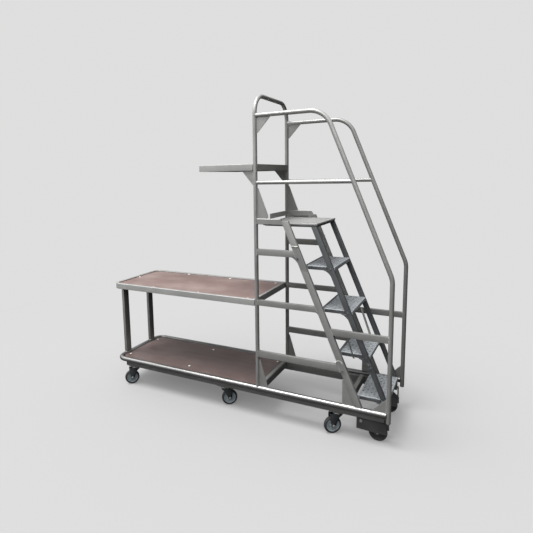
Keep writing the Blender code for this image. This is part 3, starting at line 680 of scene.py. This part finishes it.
def build_side_frames():
    for name, sign in SIDES.items():
        y_low, y_high = sorted(sign * y for y in BAR_Y)
        y = sign * SIDE_Y
        for rail in RAILS[1:]:
            refined(f"{rail}_{name}", "frame_zinc", BAR_EDGE)
        z_low, z_high = rail_heights(f"platform_rail_{name}")
        bar = bmesh.new()
        inside_hoop = HOOP_X + 0.004
        plate(bar, [(inside_hoop, z_low), (ladder_x(z_low, BRACE_REAR), z_low),
                    (ladder_x(z_high, BRACE_REAR), z_high), (inside_hoop, z_high)],
              y_low, y_high, BAR_EDGE)
        piece(f"platform_bar_{name}", bar, "frame_zinc", stands_for=(f"platform_rail_{name}",))
        for bar_node in ("side_brace", "front_rail", "leg"):
            refined(f"{bar_node}_{name}", "frame_zinc", BAR_EDGE)
        # the base rails' darker zinc is painted shadow of the bumper
        refined(f"base_rail_{name}", "base_rail_painted_shadow", BAR_EDGE)

        beads = bmesh.new()
        for rail in RAILS:
            z_low, z_high = rail_heights(f"{rail}_{name}")
            weld_bar_end(beads, on_hoop(y), y_low, y_high, z_low, z_high)
            weld_bar_end(beads, lambda _, z: ladder_x(z, BRACE_REAR), y_low, y_high, z_low, z_high)
        z_low, z_high = low(f"front_rail_{name}").z, high(f"front_rail_{name}").z
        weld_bar_end(beads, lambda _, z: ladder_x(z, BRACE_FRONT), y_low, y_high, z_low, z_high)
        weld_bar_end(beads, on_hoop(y, FRONT_POST_X, -1.0), y_low, y_high, z_low, z_high)
        weld_round_tube(beads, HOOP_X, y, HANDRAIL_Z, TUBE_R * 0.999, 1.0)
        weld_round_tube(beads, HOOP_X, y, KNEE_Z, KNEE_R, 1.0)
        piece(f"side_frame_welds_{name}", beads, "weld")

        corners = bmesh.new()
        for rail, reach in FILLETS.items():
            bottom = low(f"{rail}_{name}").z
            outline = []
            for x, z in concave_corner(-reach * 0.6, -reach):
                outline.append((ladder_x(bottom + z, BRACE_REAR - 0.002) + x, bottom + z + 0.001))
            plate(corners, outline, y - FILLET_HALF, y + FILLET_HALF)
        piece(f"rail_corner_fillets_{name}", corners, "frame_zinc")

    for node in ("base_rail_end", "base_rail_middle", "base_rail_front"):
        refined(node, "frame_zinc", 0.003)


BRACE_BOLT_Z = 1.240
COVER_Z = (1.180, 1.322)         # bottom and top of the cover plate on each brace
COVER_THICK = 0.002
COVER_SLANT = 0.022              # how much lower its front edge ends
SUNK = 0.0016                    # how deep bolts and seams sit in the plates
ARCH = (0.022, 0.018)            # half width and rise of the rail plate's round top


def build_brace_bolts():
    """Bolts and cover plates on the braces, and the plate that holds each lower rail."""
    plates = bmesh.new()
    seams = bmesh.new()
    bolts = bmesh.new()
    top = high("lower_rail_near").z
    foot, shoulder = top - 0.050, top + 0.012
    middle = ladder_x(shoulder, BRACE_REAR - 0.012)

    def arch(steps):
        turns = [math.pi * i / steps for i in range(steps + 1)]
        return [(middle - ARCH[0] * math.cos(a), shoulder + ARCH[1] * math.sin(a)) for a in turns]

    for sign in SIDES.values():
        face = sign * BAR_Y[1]
        outer = sign * (BAR_Y[1] + COVER_THICK)
        seat = outer - sign * SUNK
        y_low, y_high = sorted((face, outer))
        outline = [(ladder_x(z, BRACE_REAR + 0.012), z) for z in (foot, shoulder)]
        outline += arch(6) + [(ladder_x(foot, BRACE_REAR - 0.030), foot)]
        plate(plates, outline, y_low, y_high)
        for z, back, size in ((top - 0.036, 0.016, 0.007), (BRACE_BOLT_Z, 0.012, 0.008)):
            bolt(bolts, (ladder_x(z, BRACE_REAR - back), seat, z), (0, sign, 0), size)
        rear, front = BRACE_REAR - 0.001, BRACE_FRONT + 0.001
        plate(plates, [(ladder_x(z, back), z)
                       for z, back in ((COVER_Z[0], rear), (COVER_Z[0] - COVER_SLANT, front),
                                       (COVER_Z[1], front), (COVER_Z[1], rear))], y_low, y_high)
        # The seams are bright bolt zinc, painted highlight along each cover plate's top edge and each
        # rail plate's round top.
        weld(seams, [(ladder_x(COVER_Z[1], back), seat, COVER_Z[1])
                     for back in (BRACE_REAR, BRACE_FRONT)], radius=0.0048)
        weld(seams, [(x, seat, z) for x, z in arch(8)], radius=0.0035)
    piece("brace_plates", plates, "frame_zinc")
    piece("brace_seam_painted_highlights", seams, "bolt_zinc")
    piece("brace_bolts", bolts, "ladder_zinc")


# ---- decks and shelf
# Each board's screws, in two rows: X of the first pair, pitch, and distance of the rows
# from the middle.
UPPER_SCREWS = (0.127, 0.438, 0.268)
LOWER_SCREWS = (0.167, 0.631, 0.200)
GAP_SHADE_WIDTHS = {"upper_deck": 0.002, "lower_deck": 0.007}     # widths of the dark strips round the boards, painted shade of the gap at the frame
GAP_SHADE_RISE = 0.0009


def build_decks():
    refined("upper_deck_frame", "deck_zinc", 0.0055, segments=4)
    refined("upper_deck", "upper_film_painted_sheen", 0.0012)
    refined("lower_deck", "lower_film", 0.0012)

    # Each board gets a thin dark ring standing a little proud of it: painted shade for the gap
    # between board and frame.
    gap_shade = bmesh.new()
    for node, width in GAP_SHADE_WIDTHS.items():
        ring = node_mesh(node)
        top = high(node).z
        others = [f for f in ring.faces if f.normal.z < 0.9 or f.calc_center_median().z < top - 0.001]
        bmesh.ops.delete(ring, geom=others, context="FACES")
        board = list(ring.faces)
        bmesh.ops.inset_region(ring, faces=board, thickness=width, use_boundary=True)
        bmesh.ops.delete(ring, geom=board, context="FACES")
        for vert in made_verts(bmesh.ops.extrude_face_region(ring, geom=list(ring.faces))):
            vert.co.z += GAP_SHADE_RISE
        merge(gap_shade, ring)
    piece("deck_edge_gap_shade", gap_shade, "plug")

    screws = bmesh.new()
    lower_top = high("lower_deck").z
    upper_top = high("upper_deck").z
    for sign in SIDES.values():
        for i in range(3):
            for (first, pitch, aside), top in ((UPPER_SCREWS, upper_top),
                                               (LOWER_SCREWS, lower_top)):
                screw(screws, (first - pitch * i, sign * aside, top))
    screw(screws, (low("upper_deck").x + 0.018, 0.0, upper_top))
    piece("deck_screws", screws, "screw_zinc")

    welds = bmesh.new()
    frame_low = low("upper_deck_frame").z
    for name in SIDES:
        leg_low, leg_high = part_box(f"leg_{name}")
        ring = [(leg_low.x, leg_low.y), (leg_high.x, leg_low.y), (leg_high.x, leg_high.y),
                (leg_low.x, leg_high.y)]
        for z in (frame_low, BUMPER_Z + BUMPER_R * 0.98):
            weld(welds, [(x, y, z) for x, y in ring], True)
    piece("leg_welds", welds, "weld")


def build_shelf():
    """The tray on the hoop: a folded sheet with a turned-down rim, open underneath."""
    shelf_low, shelf_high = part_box("top_shelf")
    z_low, z_high = shelf_high.z - SHELF_RIM, shelf_high.z
    rear_edge = HOOP_X - TUBE_R
    half = shelf_high.y
    between = SIDE_Y - TUBE_R
    outline = [(shelf_low.x, -half), (rear_edge, -half), (rear_edge, -between),
               (shelf_high.x, -between), (shelf_high.x, between), (rear_edge, between),
               (rear_edge, half), (shelf_low.x, half)]
    bm = bmesh.new()
    top = bm.faces.new([bm.verts.new((x, y, z_high)) for x, y in outline])
    for vert in made_verts(bmesh.ops.extrude_edge_only(bm, edges=list(top.edges))):
        vert.co.z = z_low
    bmesh.ops.recalc_face_normals(bm, faces=bm.faces)
    round_edges(bm, 0.003, 3)
    obj = piece("shelf_tray", bm, "frame_zinc", stands_for=("top_shelf",))
    thicken(obj)

    ribs = bmesh.new()
    rib_half = half - 2 * WALL
    for i in (1, 2):
        x = shelf_low.x + RIB_PITCH * i
        block(ribs, (x, -rib_half, z_high - 0.022), (x + RIB_WIDE, rib_half, z_high - 0.003))
    piece("shelf_ribs", ribs, "frame_zinc")


def thicken(obj):
    """Gives a folded sheet its thickness, inwards from the modelled face."""
    sheet = bmesh.new()
    sheet.from_mesh(obj.data)
    for edge in sheet.edges:
        if edge.is_boundary:
            edge.smooth = False
    sheet.to_mesh(obj.data)
    sheet.free()
    modifier = obj.modifiers.new("thickness", "SOLIDIFY")
    modifier.thickness = WALL
    modifier.offset = -1.0
    modifier.use_even_offset = True


# ---- ladder
HOLE_PITCH = 0.0290
HOLE_R = 0.0084
SMALL_HOLE_R = 0.0044
HOLE_RISE = 0.0013               # how far the large holes' rims stand up
COLLAR = 0.0075                  # how far each hole's turned-down collar reaches
CELL_SIDES = 12
FOLD = 0.004                     # bend radius of the treads' folded edges
SIDE_PLATE = 0.004               # thickness of the treads' side plates
STEPS = (1, 2, 3, 4)


def cell_border(centre_x, centre_y, half_x, half_y):
    """Points round a cell, three to a side, in step with a ring that starts at +X."""
    corners = [(1, -1), (1, 1), (-1, 1), (-1, -1)]
    per_side = CELL_SIDES // len(corners)
    points = []
    for (ax, ay), (bx, by) in zip(corners, corners[1:] + corners[:1]):
        for k in range(per_side):
            t = k / per_side
            points.append((centre_x + half_x * (ax + (bx - ax) * t),
                           centre_y + half_y * (ay + (by - ay) * t)))
    return points[2:] + points[:2]


def punched_panel(bm, x_low, x_high, y_half, z):
    """A flat sheet with rows of raised, collared holes and smaller ones between them."""
    columns = max(1, round((x_high - x_low) / HOLE_PITCH))
    rows = max(1, round(2 * y_half / HOLE_PITCH))
    half_x = (x_high - x_low) / columns / 2
    half_y = y_half / rows
    for i in range(columns):
        for j in range(rows):
            cx = x_low + half_x * (2 * i + 1)
            cy = -y_half + half_y * (2 * j + 1)
            before = [bm.verts.new((x, y, z)) for x, y in cell_border(cx, cy, half_x, half_y)]
            big = (i + j) % 2 == 0
            radius = HOLE_R if big else SMALL_HOLE_R
            rise = HOLE_RISE if big else 0.0
            rings = ((radius + 0.0022, 0.0), (radius + 0.0009, rise * 0.8), (radius, rise),
                     (radius - 0.0003, rise - 0.0012), (radius - 0.0004, -COLLAR))
            for ring_radius, lift in rings:
                ring = add_ring(bm, Vector((cx, cy, z + lift)), Vector((0, 0, 1)),
                                Vector((1, 0, 0)), ring_radius, CELL_SIDES)
                bridge(bm, before, ring)
                before = ring
    bmesh.ops.remove_doubles(bm, verts=bm.verts, dist=0.00003)
    return bm


def fold_down(bm, x_low, x_high, y_half, tall, lip=0.010):
    """Folds a panel's four outer edges down into skirts with a turned-in lip."""
    def outward(co):
        nx = 1.0 if abs(co.x - x_high) < 1e-5 else -1.0 if abs(co.x - x_low) < 1e-5 else 0.0
        ny = 1.0 if abs(co.y - y_half) < 1e-5 else -1.0 if abs(co.y + y_half) < 1e-5 else 0.0
        return Vector((nx, ny, 0.0))

    edges = [e for e in bm.edges if e.is_boundary
             and all(outward(v.co).length > 0.5 for v in e.verts)
             and outward((e.verts[0].co + e.verts[1].co) / 2).length > 0.5]
    rest = {v: (v.co.copy(), outward(v.co)) for e in edges for v in e.verts}
    stages = [(FOLD * math.sin(a), FOLD * (1 - math.cos(a)))
              for a in (math.radians(30), math.radians(60), math.radians(90))]
    stages += [(FOLD, tall - 0.001), (FOLD - 0.001, tall), (FOLD - lip, tall)]
    for out, down in stages:
        made = bmesh.ops.extrude_edge_only(bm, edges=edges)
        edges = [e for e in made["geom"] if isinstance(e, bmesh.types.BMEdge)]
        moved = {}
        for vert in made_verts(made):
            moved[vert] = rest[min(rest, key=lambda v: (v.co - vert.co).length)]
        for vert, (base, normal) in moved.items():
            vert.co = base + normal * out - Vector((0, 0, down))
        rest = moved
    return bm


def build_treads():
    stringer = low("ladder_stringer_far").y
    half = stringer - 0.0004
    brackets = bmesh.new()
    for step in STEPS:
        node = f"tread_{step}"
        z = high(node).z
        front = high(node).x
        x_low, x_high = front - TREAD_DEPTH + FOLD, front - FOLD
        bm = punched_panel(bmesh.new(), x_low, x_high, half - FOLD, z - HOLE_RISE)
        fold_down(bm, x_low, x_high, half - FOLD, TREAD_TALL - HOLE_RISE)
        obj = piece(f"tread_sheet_{step}", bm, "tread_zinc", stands_for=(node,))
        thicken(obj)
        if low(node).y < -half - 0.01:
            bar = block(bmesh.new(), (low(node).x, low(node).y, z - TREAD_TALL),
                        (low(node).x + 0.020, high(node).y, z - 0.004), 0.002)
            piece(f"tread_bearer_{step}", bar, "ladder_zinc")
        for sign in SIDES.values():
            y_low, y_high = sorted((sign * stringer, sign * (stringer + STRINGER_THICK)))
            bottom = z - TREAD_TALL
            outline = []
            for x, dz in concave_corner(-0.040, -0.055):
                outline.append((ladder_x(bottom + dz, STRINGER_BACK + STRINGER_LEVEL - 0.002) + x,
                                bottom + dz + 0.001))
            plate(brackets, outline, y_low + SIDE_PLATE, y_high - SIDE_PLATE)
            rear, fore, top = front - TREAD_DEPTH + 0.01, front - 0.05, z - 0.004
            plate(brackets, [(rear, bottom), (fore, bottom), (fore, top), (rear, top)],
                  *sorted((sign * stringer, sign * (stringer + SIDE_PLATE))))
    piece("tread_brackets", brackets, "ladder_zinc")


def build_toe_board():
    """A bent strip round two sides of the platform, standing clear of it on short tabs."""
    board_low, board_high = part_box("toe_board")
    thick = 0.004
    bend = 0.012
    tab = 0.018
    lower = board_low.z + 0.017
    tab_top = lower + 0.002
    end = board_high.x - bend
    bm = block(bmesh.new(), (board_low.x, board_low.y, lower),
               (board_low.x + thick, board_high.y - bend, board_high.z), 0.0015)
    outline = [(board_low.x + bend, lower), (end, lower)]
    reach = board_high.z - lower
    for i in range(7):
        a = math.pi / 2 * i / 6
        outline.append((end + bend * math.cos(a) - bend * math.sin(a),
                        lower + reach * math.sin(a)))
    outline.append((board_low.x + bend, board_high.z))
    plate(bm, outline, board_high.y - thick, board_high.y, 0.0012)
    corner = bmesh.new()
    rings = []
    for i in range(7):
        a = math.pi / 2 * i / 6
        centre_x, centre_y = board_low.x + bend, board_high.y - bend
        direction = Vector((-math.cos(a), math.sin(a), 0.0))
        ring = [corner.verts.new(Vector((centre_x, centre_y, z)) + direction * r)
                for r, z in ((bend, lower), (bend, board_high.z), (bend - thick, board_high.z),
                             (bend - thick, lower))]
        rings.append(ring)
    for first, second in zip(rings, rings[1:]):
        bridge(corner, first, second)
    corner.faces.new(rings[0][::-1])
    corner.faces.new(rings[-1])
    merge(bm, corner)
    for y in (-0.140, 0.165):
        block(bm, (board_low.x, y, board_low.z), (board_low.x + thick, y + tab, tab_top), 0.0005)
    x = end - 0.030
    block(bm, (x, board_high.y - thick, board_low.z), (x + tab, board_high.y, tab_top), 0.0005)
    piece("toe_strip", bm, "frame_zinc", stands_for=("toe_board",))


def build_ladder():
    for name in SIDES:
        refined(f"ladder_stringer_{name}", "ladder_zinc", 0.0025)
        refined(f"ladder_foot_{name}", "ladder_zinc", 0.0012)
    refined("tie_rod", "frame_zinc", 0.0005)
    stay = [Vector((FAR_STAY_TOP_X, BAR_Y[0] + 0.004, FAR_STAY_TOP_Z)),
            Vector((FAR_STAY_FOOT_X, LADDER_HALF + STAY_R, low("tie_rod").z))]
    piece("tie_rod_far_side", sweep(bmesh.new(), stay, STAY_R, 16), "plate_zinc")
    build_toe_board()

    sheet_low, sheet_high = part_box("platform")
    half = LADDER_HALF
    x_low, x_high = HOOP_X + 0.035, sheet_high.x
    lip_z = sheet_high.z - 0.012
    sheet = block(bmesh.new(), (x_low, -half, lip_z), (x_high, half, sheet_high.z), 0.003, 3)
    piece("platform_sheet", sheet, "plate_zinc", stands_for=("platform",))
    inset = 0.003
    tray = block(bmesh.new(), (x_low + inset, -half + inset, sheet_high.z - 0.025),
                 (x_high - inset, half - inset, lip_z - 0.001))
    piece("platform_tray", tray, "ladder_zinc")
    bearers = bmesh.new()
    bearer = 0.024
    brace_middle = ladder_x(PLATFORM_Z, (BRACE_REAR + BRACE_FRONT) / 2)
    for x in (HOOP_X + 0.050, brace_middle - bearer / 2):
        block(bearers, (x, sheet_low.y, sheet_high.z - 0.015),
              (x + bearer, sheet_high.y, sheet_high.z - inset), 0.0015)
    piece("platform_bearers", bearers, "frame_zinc")

    bolts = bmesh.new()
    plain_bolts = bmesh.new()
    splice = high("ladder_foot_near").z
    for sign in SIDES.values():
        outer = sign * high("ladder_foot_far").y
        for z in (splice - 0.013, splice - 0.034):
            bolt(plain_bolts, (ladder_x(z, STRINGER_BACK + 0.017), outer, z), (0, sign, 0), 0.007)
        for step in STEPS:
            z = high(f"tread_{step}").z - TREAD_TALL / 2
            bolt(plain_bolts, (ladder_x(z, STRINGER_BACK + 0.020), sign * LADDER_HALF, z),
                 (0, sign, 0), 0.006)
    tie_low, tie_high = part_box("tie_rod")
    bolt(bolts, (tie_low.x + 0.005, -BAR_Y[0], tie_high.z - 0.006), (0, 1, 0), 0.007, True)
    bolt(bolts, (tie_high.x - 0.004, -LADDER_HALF, tie_low.z + 0.006), (0, -1, 0), 0.007, True)
    for x, y in ((low("toe_board").x, -0.140), (low("toe_board").x, 0.195)):
        bolt(bolts, (x + 0.004, y, low("toe_board").z + 0.020), (1, 0, 0), 0.005)
    piece("ladder_bolts", bolts, "bolt_zinc")
    piece("stringer_bolts", plain_bolts, "ladder_zinc")


# ---- wheels
WHEEL_HALF = 0.0165              # half the width of a wheel
SPOKES = 6


def wheel(name, body, joint, stands_for, hub_material="hub"):
    """Tyre and hub of one wheel, about its spin joint."""
    centre = joint_place(joint)
    place = aimed(centre, joint_axis(joint))
    radius = centre.z
    half = WHEEL_HALF
    tyre = bmesh.new()
    crown = []
    for i in range(9):
        a = math.radians(-80 + 20 * i)
        crown.append((radius - 0.010 + 0.010 * math.cos(a) ** 0.7, half * 0.93 * math.sin(a)))
    side_r = radius - 0.015
    profile = [(side_r, -half + 0.0045), (side_r + 0.002, -half + 0.0015)]
    profile += crown + [(side_r + 0.002, half - 0.0015), (side_r, half - 0.0045)]
    turned(tyre, profile + [profile[0]], place, 56)
    bmesh.ops.remove_doubles(tyre, verts=tyre.verts, dist=0.00002)
    piece(f"{name}_tyre", tyre, "tyre", body, stands_for)

    rim = bmesh.new()
    rim_profile = [(0.0062, -half * 0.98), (0.0150, -half * 0.98), (0.0175, -half * 0.80),
                   (0.0200, -half * 0.45), (0.0400, -half * 0.45), (0.0425, -half * 0.75),
                   (side_r, -half * 0.76)]
    rim_profile += [(r, -z) for r, z in reversed(rim_profile)]
    turned(rim, rim_profile + [rim_profile[0]], place, 48)
    bmesh.ops.remove_doubles(rim, verts=rim.verts, dist=0.00002)
    for i in range(SPOKES):
        for face in (-1, 1):
            rib = block(bmesh.new(), (0.017, -0.0022, -0.0018), (0.0415, 0.0022, 0.0018),
                        0.0007, 1)
            turn = Matrix.Rotation(2 * math.pi * i / SPOKES, 4, "Z")
            merge(rim, rib, place @ turn @ Matrix.Translation((0, 0, face * half * 0.55)))
    piece(f"{name}_hub", rim, hub_material, body)


AXLE_REACH = 0.0265              # from a castor wheel's middle to its axle bolt's heads
PAD_BOLTS = (0.041, 0.030)       # the pad bolts' distances from the swivel
RACES = ((0.0040, 0.0325), (0.0100, 0.0308))     # depth under the castor's top, and radius


def build_castors():
    for tag in WHEEL_TAGS:
        body = f"castor_{tag}"
        swivel = joint_place(f"swivel_{tag}")
        centre = joint_place(f"spin_{tag}")
        axis = joint_axis(f"spin_{tag}")
        refined(f"castor_fork_{tag}", "castor_zinc", 0.0009, body)
        wheel(f"wheel_{tag}", f"wheel_{tag}", f"spin_{tag}", (f"castor_wheel_{tag}",))

        hardware = bmesh.new()
        bolt(hardware, centre + axis * AXLE_REACH, axis, 0.009)
        bolt(hardware, centre - axis * AXLE_REACH, -axis, 0.009, True)
        piece(f"axle_bolt_{tag}", hardware, "bolt_zinc", body)

        race = bmesh.new()
        for depth, radius in RACES:
            ring = [Vector((swivel.x + radius * math.cos(a), swivel.y + radius * math.sin(a),
                            CASTOR_TOP - depth)) for a in angles(2 * math.pi, 40)]
            sweep(race, ring, 0.0026, 8, True)
        piece(f"swivel_race_{tag}", race, "bolt_zinc", body)


def build_castor_pads():
    """Bolts through each castor's pad, on the fixed frame."""
    bolts = bmesh.new()
    for tag in WHEEL_TAGS:
        swivel = joint_place(f"swivel_{tag}")
        for dx in (-PAD_BOLTS[0], PAD_BOLTS[0]):
            for dy in (-PAD_BOLTS[1], PAD_BOLTS[1]):
                bolt(bolts, (swivel.x + dx, swivel.y + dy, PAD_TOP + 0.0002), (0, 0, -1), 0.007)
    piece("castor_pad_bolts", bolts, "bolt_zinc")


PEDAL_FALL = 0.31                # slope of the pedals' tops


def build_pedals():
    for name in SIDES:
        tag = f"middle_{name}"
        body = f"pedal_{tag}"
        refined(f"brake_pedal_{tag}", "plug", 0.0008, body)
        pivot = joint_place(f"brake_{tag}")
        axis = joint_axis(f"brake_{tag}")
        along = axis.cross(Vector((0, 0, 1)))
        ribs = bmesh.new()
        for i in range(4):
            reach = 0.040 + 0.008 * i
            drop = 0.003 + PEDAL_FALL * (reach - 0.028)
            start = pivot + along * reach - Vector((0, 0, drop))
            sweep(ribs, [start - axis * 0.015, start + axis * 0.015], 0.0011, 8)
        piece(f"pedal_ribs_{tag}", ribs, "plug", body)


HOUSING_BOLT_REACH = 0.036       # from a sprung arm's pivot to its bolt's heads
COIL_TURNS = 3
COIL_STEPS = 20
COIL_R = 0.0105
COIL_START = 0.0262
COIL_PITCH = 0.0018


def build_sprung_wheels():
    frame_bolts = bmesh.new()
    springs = bmesh.new()
    for name, sign in SIDES.items():
        refined(f"spring_housing_{name}", "black_paint", 0.0012)
        refined(f"spring_arm_{name}", "castor_zinc", 0.001, f"arm_{name}")
        wheel(f"sprung_wheel_{name}", f"sprung_wheel_{name}", f"spin_sprung_{name}",
              (f"spring_wheel_{name}",), "plug")
        centre = joint_place(f"spin_sprung_{name}")
        axle = bmesh.new()
        for face in (-1.0, 1.0):
            bolt(axle, centre + Vector((0, face * 0.0250, 0)), (0, face, 0), 0.007)
        piece(f"sprung_axle_bolts_{name}", axle, "bolt_zinc", f"arm_{name}")

        pivot = joint_place(f"arm_spring_{name}")
        housing_low, housing_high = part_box(f"spring_housing_{name}")
        outer = housing_high.y if sign > 0 else housing_low.y
        for face, nut in ((sign, False), (-sign, True)):
            bolt(frame_bolts, pivot + Vector((0, face * HOUSING_BOLT_REACH, 0)), (0, face, 0),
                 0.009, nut)
        stud = (housing_high.x - 0.009, outer - sign * 0.005, housing_high.z - 0.008)
        bolt(frame_bolts, stud, (0, 0, 1), 0.007)
        coil = []
        for i in range(COIL_TURNS * COIL_STEPS + 1):
            a = 2 * math.pi * i / COIL_STEPS
            inward = -sign * (COIL_START + COIL_PITCH * i / COIL_STEPS)
            coil.append(pivot + Vector((COIL_R * math.cos(a), inward, COIL_R * math.sin(a))))
        sweep(springs, coil, 0.0010, 8)
    piece("housing_bolts", frame_bolts, "bolt_zinc")
    piece("arm_springs", springs, "castor_zinc")


build_tubes()
build_corner_plates()
build_side_frames()
build_brace_bolts()
build_decks()
build_shelf()
build_treads()
build_ladder()
build_castors()
build_castor_pads()
build_pedals()
build_sprung_wheels()


# ---- floor, lights and camera
WHITE = (1.0, 1.0, 1.0, 1.0)
PAPER_TONE = 0.735
FLOOR_ALBEDO = 0.27
FLOOR_GLOW = 0.17               # keeps the shadow under the base a mid grey
FLOOR_FADE = (1.9, 4.2)         # distances between which the floor turns into plain paper
FLOOR_RADIUS = 30.0
DOME_RADIUS = 29.0
SUN_STRENGTH = 3.1
SUN_WIDTH = 24.0                # degrees, wide for a soft shadow
SUN_TILT = (16.0, -15.0, 0.0)
FRONT_LEFT = (-0.62, -0.78, 0.0)
SIDE_GLOW = (0.06, 1.45)        # strength of the surround behind and to the right, and in front
GROUND_GLOW = 0.11              # share of it that comes from below the horizon
SKY_GLOW = 0.80
CAMERA_LENS = 30.936            # millimetres, on a sensor 36 wide
CAMERA_SHIFT = (0.0687, -0.0435)
CAMERA_PLACE = (1.6056, -3.2378, 1.8007)
CAMERA_TURN = (81.8049, 1.2023, 28.4346)


def stage_mesh(name, bm, material):
    mesh = bpy.data.meshes.new(name)
    bm.to_mesh(mesh)
    bm.free()
    mesh.materials.append(material)
    obj = bpy.data.objects.new(name, mesh)
    bpy.context.scene.collection.objects.link(obj)
    return obj


def glow_material(name, tone):
    material = bpy.data.materials.new(name)
    material.use_nodes = True
    tree = material.node_tree
    glow = add_node(tree, "Emission", Color=(tone, tone, tone, 1.0))
    tree.links.new(glow.outputs[0], tree.nodes["Material Output"].inputs["Surface"])
    return material, glow


def build_floor():
    """A pale floor that fades into an equally pale surround."""
    paper, glow = glow_material("floor_paper", PAPER_TONE)
    tree = paper.node_tree
    shader = tree.nodes["Principled BSDF"]
    for key, value in (("Base Color", (FLOOR_ALBEDO,) * 3 + (1.0,)), ("Roughness", 0.95),
                       ("Specular IOR Level", 0.1), ("Emission Color", WHITE),
                       ("Emission Strength", FLOOR_GLOW)):
        shader.inputs[key].default_value = value
    blend = add_node(tree, "MixShader")
    place = add_node(tree, "TexCoord")
    distance = add_node(tree, "VectorMath")
    distance.operation = "LENGTH"
    fade = add_node(tree, "MapRange", From_Min=FLOOR_FADE[0], From_Max=FLOOR_FADE[1])
    fade.interpolation_type = "SMOOTHSTEP"
    tree.links.new(place.outputs["Object"], distance.inputs[0])
    tree.links.new(distance.outputs["Value"], fade.inputs["Value"])
    tree.links.new(fade.outputs["Result"], blend.inputs["Fac"])
    tree.links.new(shader.outputs[0], blend.inputs[1])
    tree.links.new(glow.outputs[0], blend.inputs[2])
    tree.links.new(blend.outputs[0], tree.nodes["Material Output"].inputs["Surface"])
    disc = bmesh.new()
    bmesh.ops.create_circle(disc, cap_ends=True, segments=96, radius=FLOOR_RADIUS)
    floor = stage_mesh("floor", disc, paper)
    floor.visible_glossy = False
    floor.visible_diffuse = False

    dome = bmesh.new()
    bmesh.ops.create_uvsphere(dome, u_segments=48, v_segments=24, radius=DOME_RADIUS)
    backdrop = stage_mesh("backdrop", dome, glow_material("backdrop_paper", PAPER_TONE)[0])
    for ray in ("diffuse", "glossy", "transmission", "shadow", "volume_scatter"):
        setattr(backdrop, f"visible_{ray}", False)


def build_lights():
    """One soft light overhead, and a surround that is bright above and dark towards +X."""
    sun = bpy.data.lights.new("overhead", "SUN")
    sun.energy = SUN_STRENGTH
    sun.angle = math.radians(SUN_WIDTH)
    obj = bpy.data.objects.new("overhead", sun)
    obj.rotation_euler = tuple(math.radians(a) for a in SUN_TILT)
    bpy.context.scene.collection.objects.link(obj)

    world = bpy.data.worlds.new("studio")
    bpy.context.scene.world = world
    world.use_nodes = True
    tree = world.node_tree
    place = add_node(tree, "TexCoord")

    def gradient(direction, start, end, low_value, high_value):
        along = add_node(tree, "VectorMath")
        along.operation = "DOT_PRODUCT"
        along.inputs[1].default_value = direction
        tree.links.new(place.outputs["Generated"], along.inputs[0])
        span = add_node(tree, "MapRange", From_Min=start, From_Max=end,
                        To_Min=low_value, To_Max=high_value)
        span.interpolation_type = "SMOOTHSTEP"
        tree.links.new(along.outputs["Value"], span.inputs["Value"])
        return span.outputs["Result"]

    def combined(operation, first, second):
        node = add_node(tree, "Math")
        node.operation = operation
        tree.links.new(first, node.inputs[0])
        tree.links.new(second, node.inputs[1])
        return node.outputs[0]

    up = (0.0, 0.0, 1.0)
    sideways = gradient(FRONT_LEFT, -0.45, 0.75, *SIDE_GLOW)
    above_floor = gradient(up, 0.00, 0.42, GROUND_GLOW, 1.0)
    sky = gradient(up, 0.15, 0.85, 0.0, SKY_GLOW)
    strength = combined("ADD", combined("MULTIPLY", sideways, above_floor), sky)
    tree.links.new(strength, tree.nodes["Background"].inputs["Strength"])
    tree.nodes["Background"].inputs["Color"].default_value = WHITE


def build_camera():
    camera = bpy.data.cameras.new("camera")
    camera.sensor_width = 36.0
    camera.lens = CAMERA_LENS
    camera.shift_x, camera.shift_y = CAMERA_SHIFT
    obj = bpy.data.objects.new("camera", camera)
    obj.location = CAMERA_PLACE
    obj.rotation_euler = tuple(math.radians(a) for a in CAMERA_TURN)
    bpy.context.scene.collection.objects.link(obj)
    bpy.context.scene.camera = obj
    bpy.context.scene.view_settings.view_transform = "Standard"


build_floor()
build_lights()
build_camera()
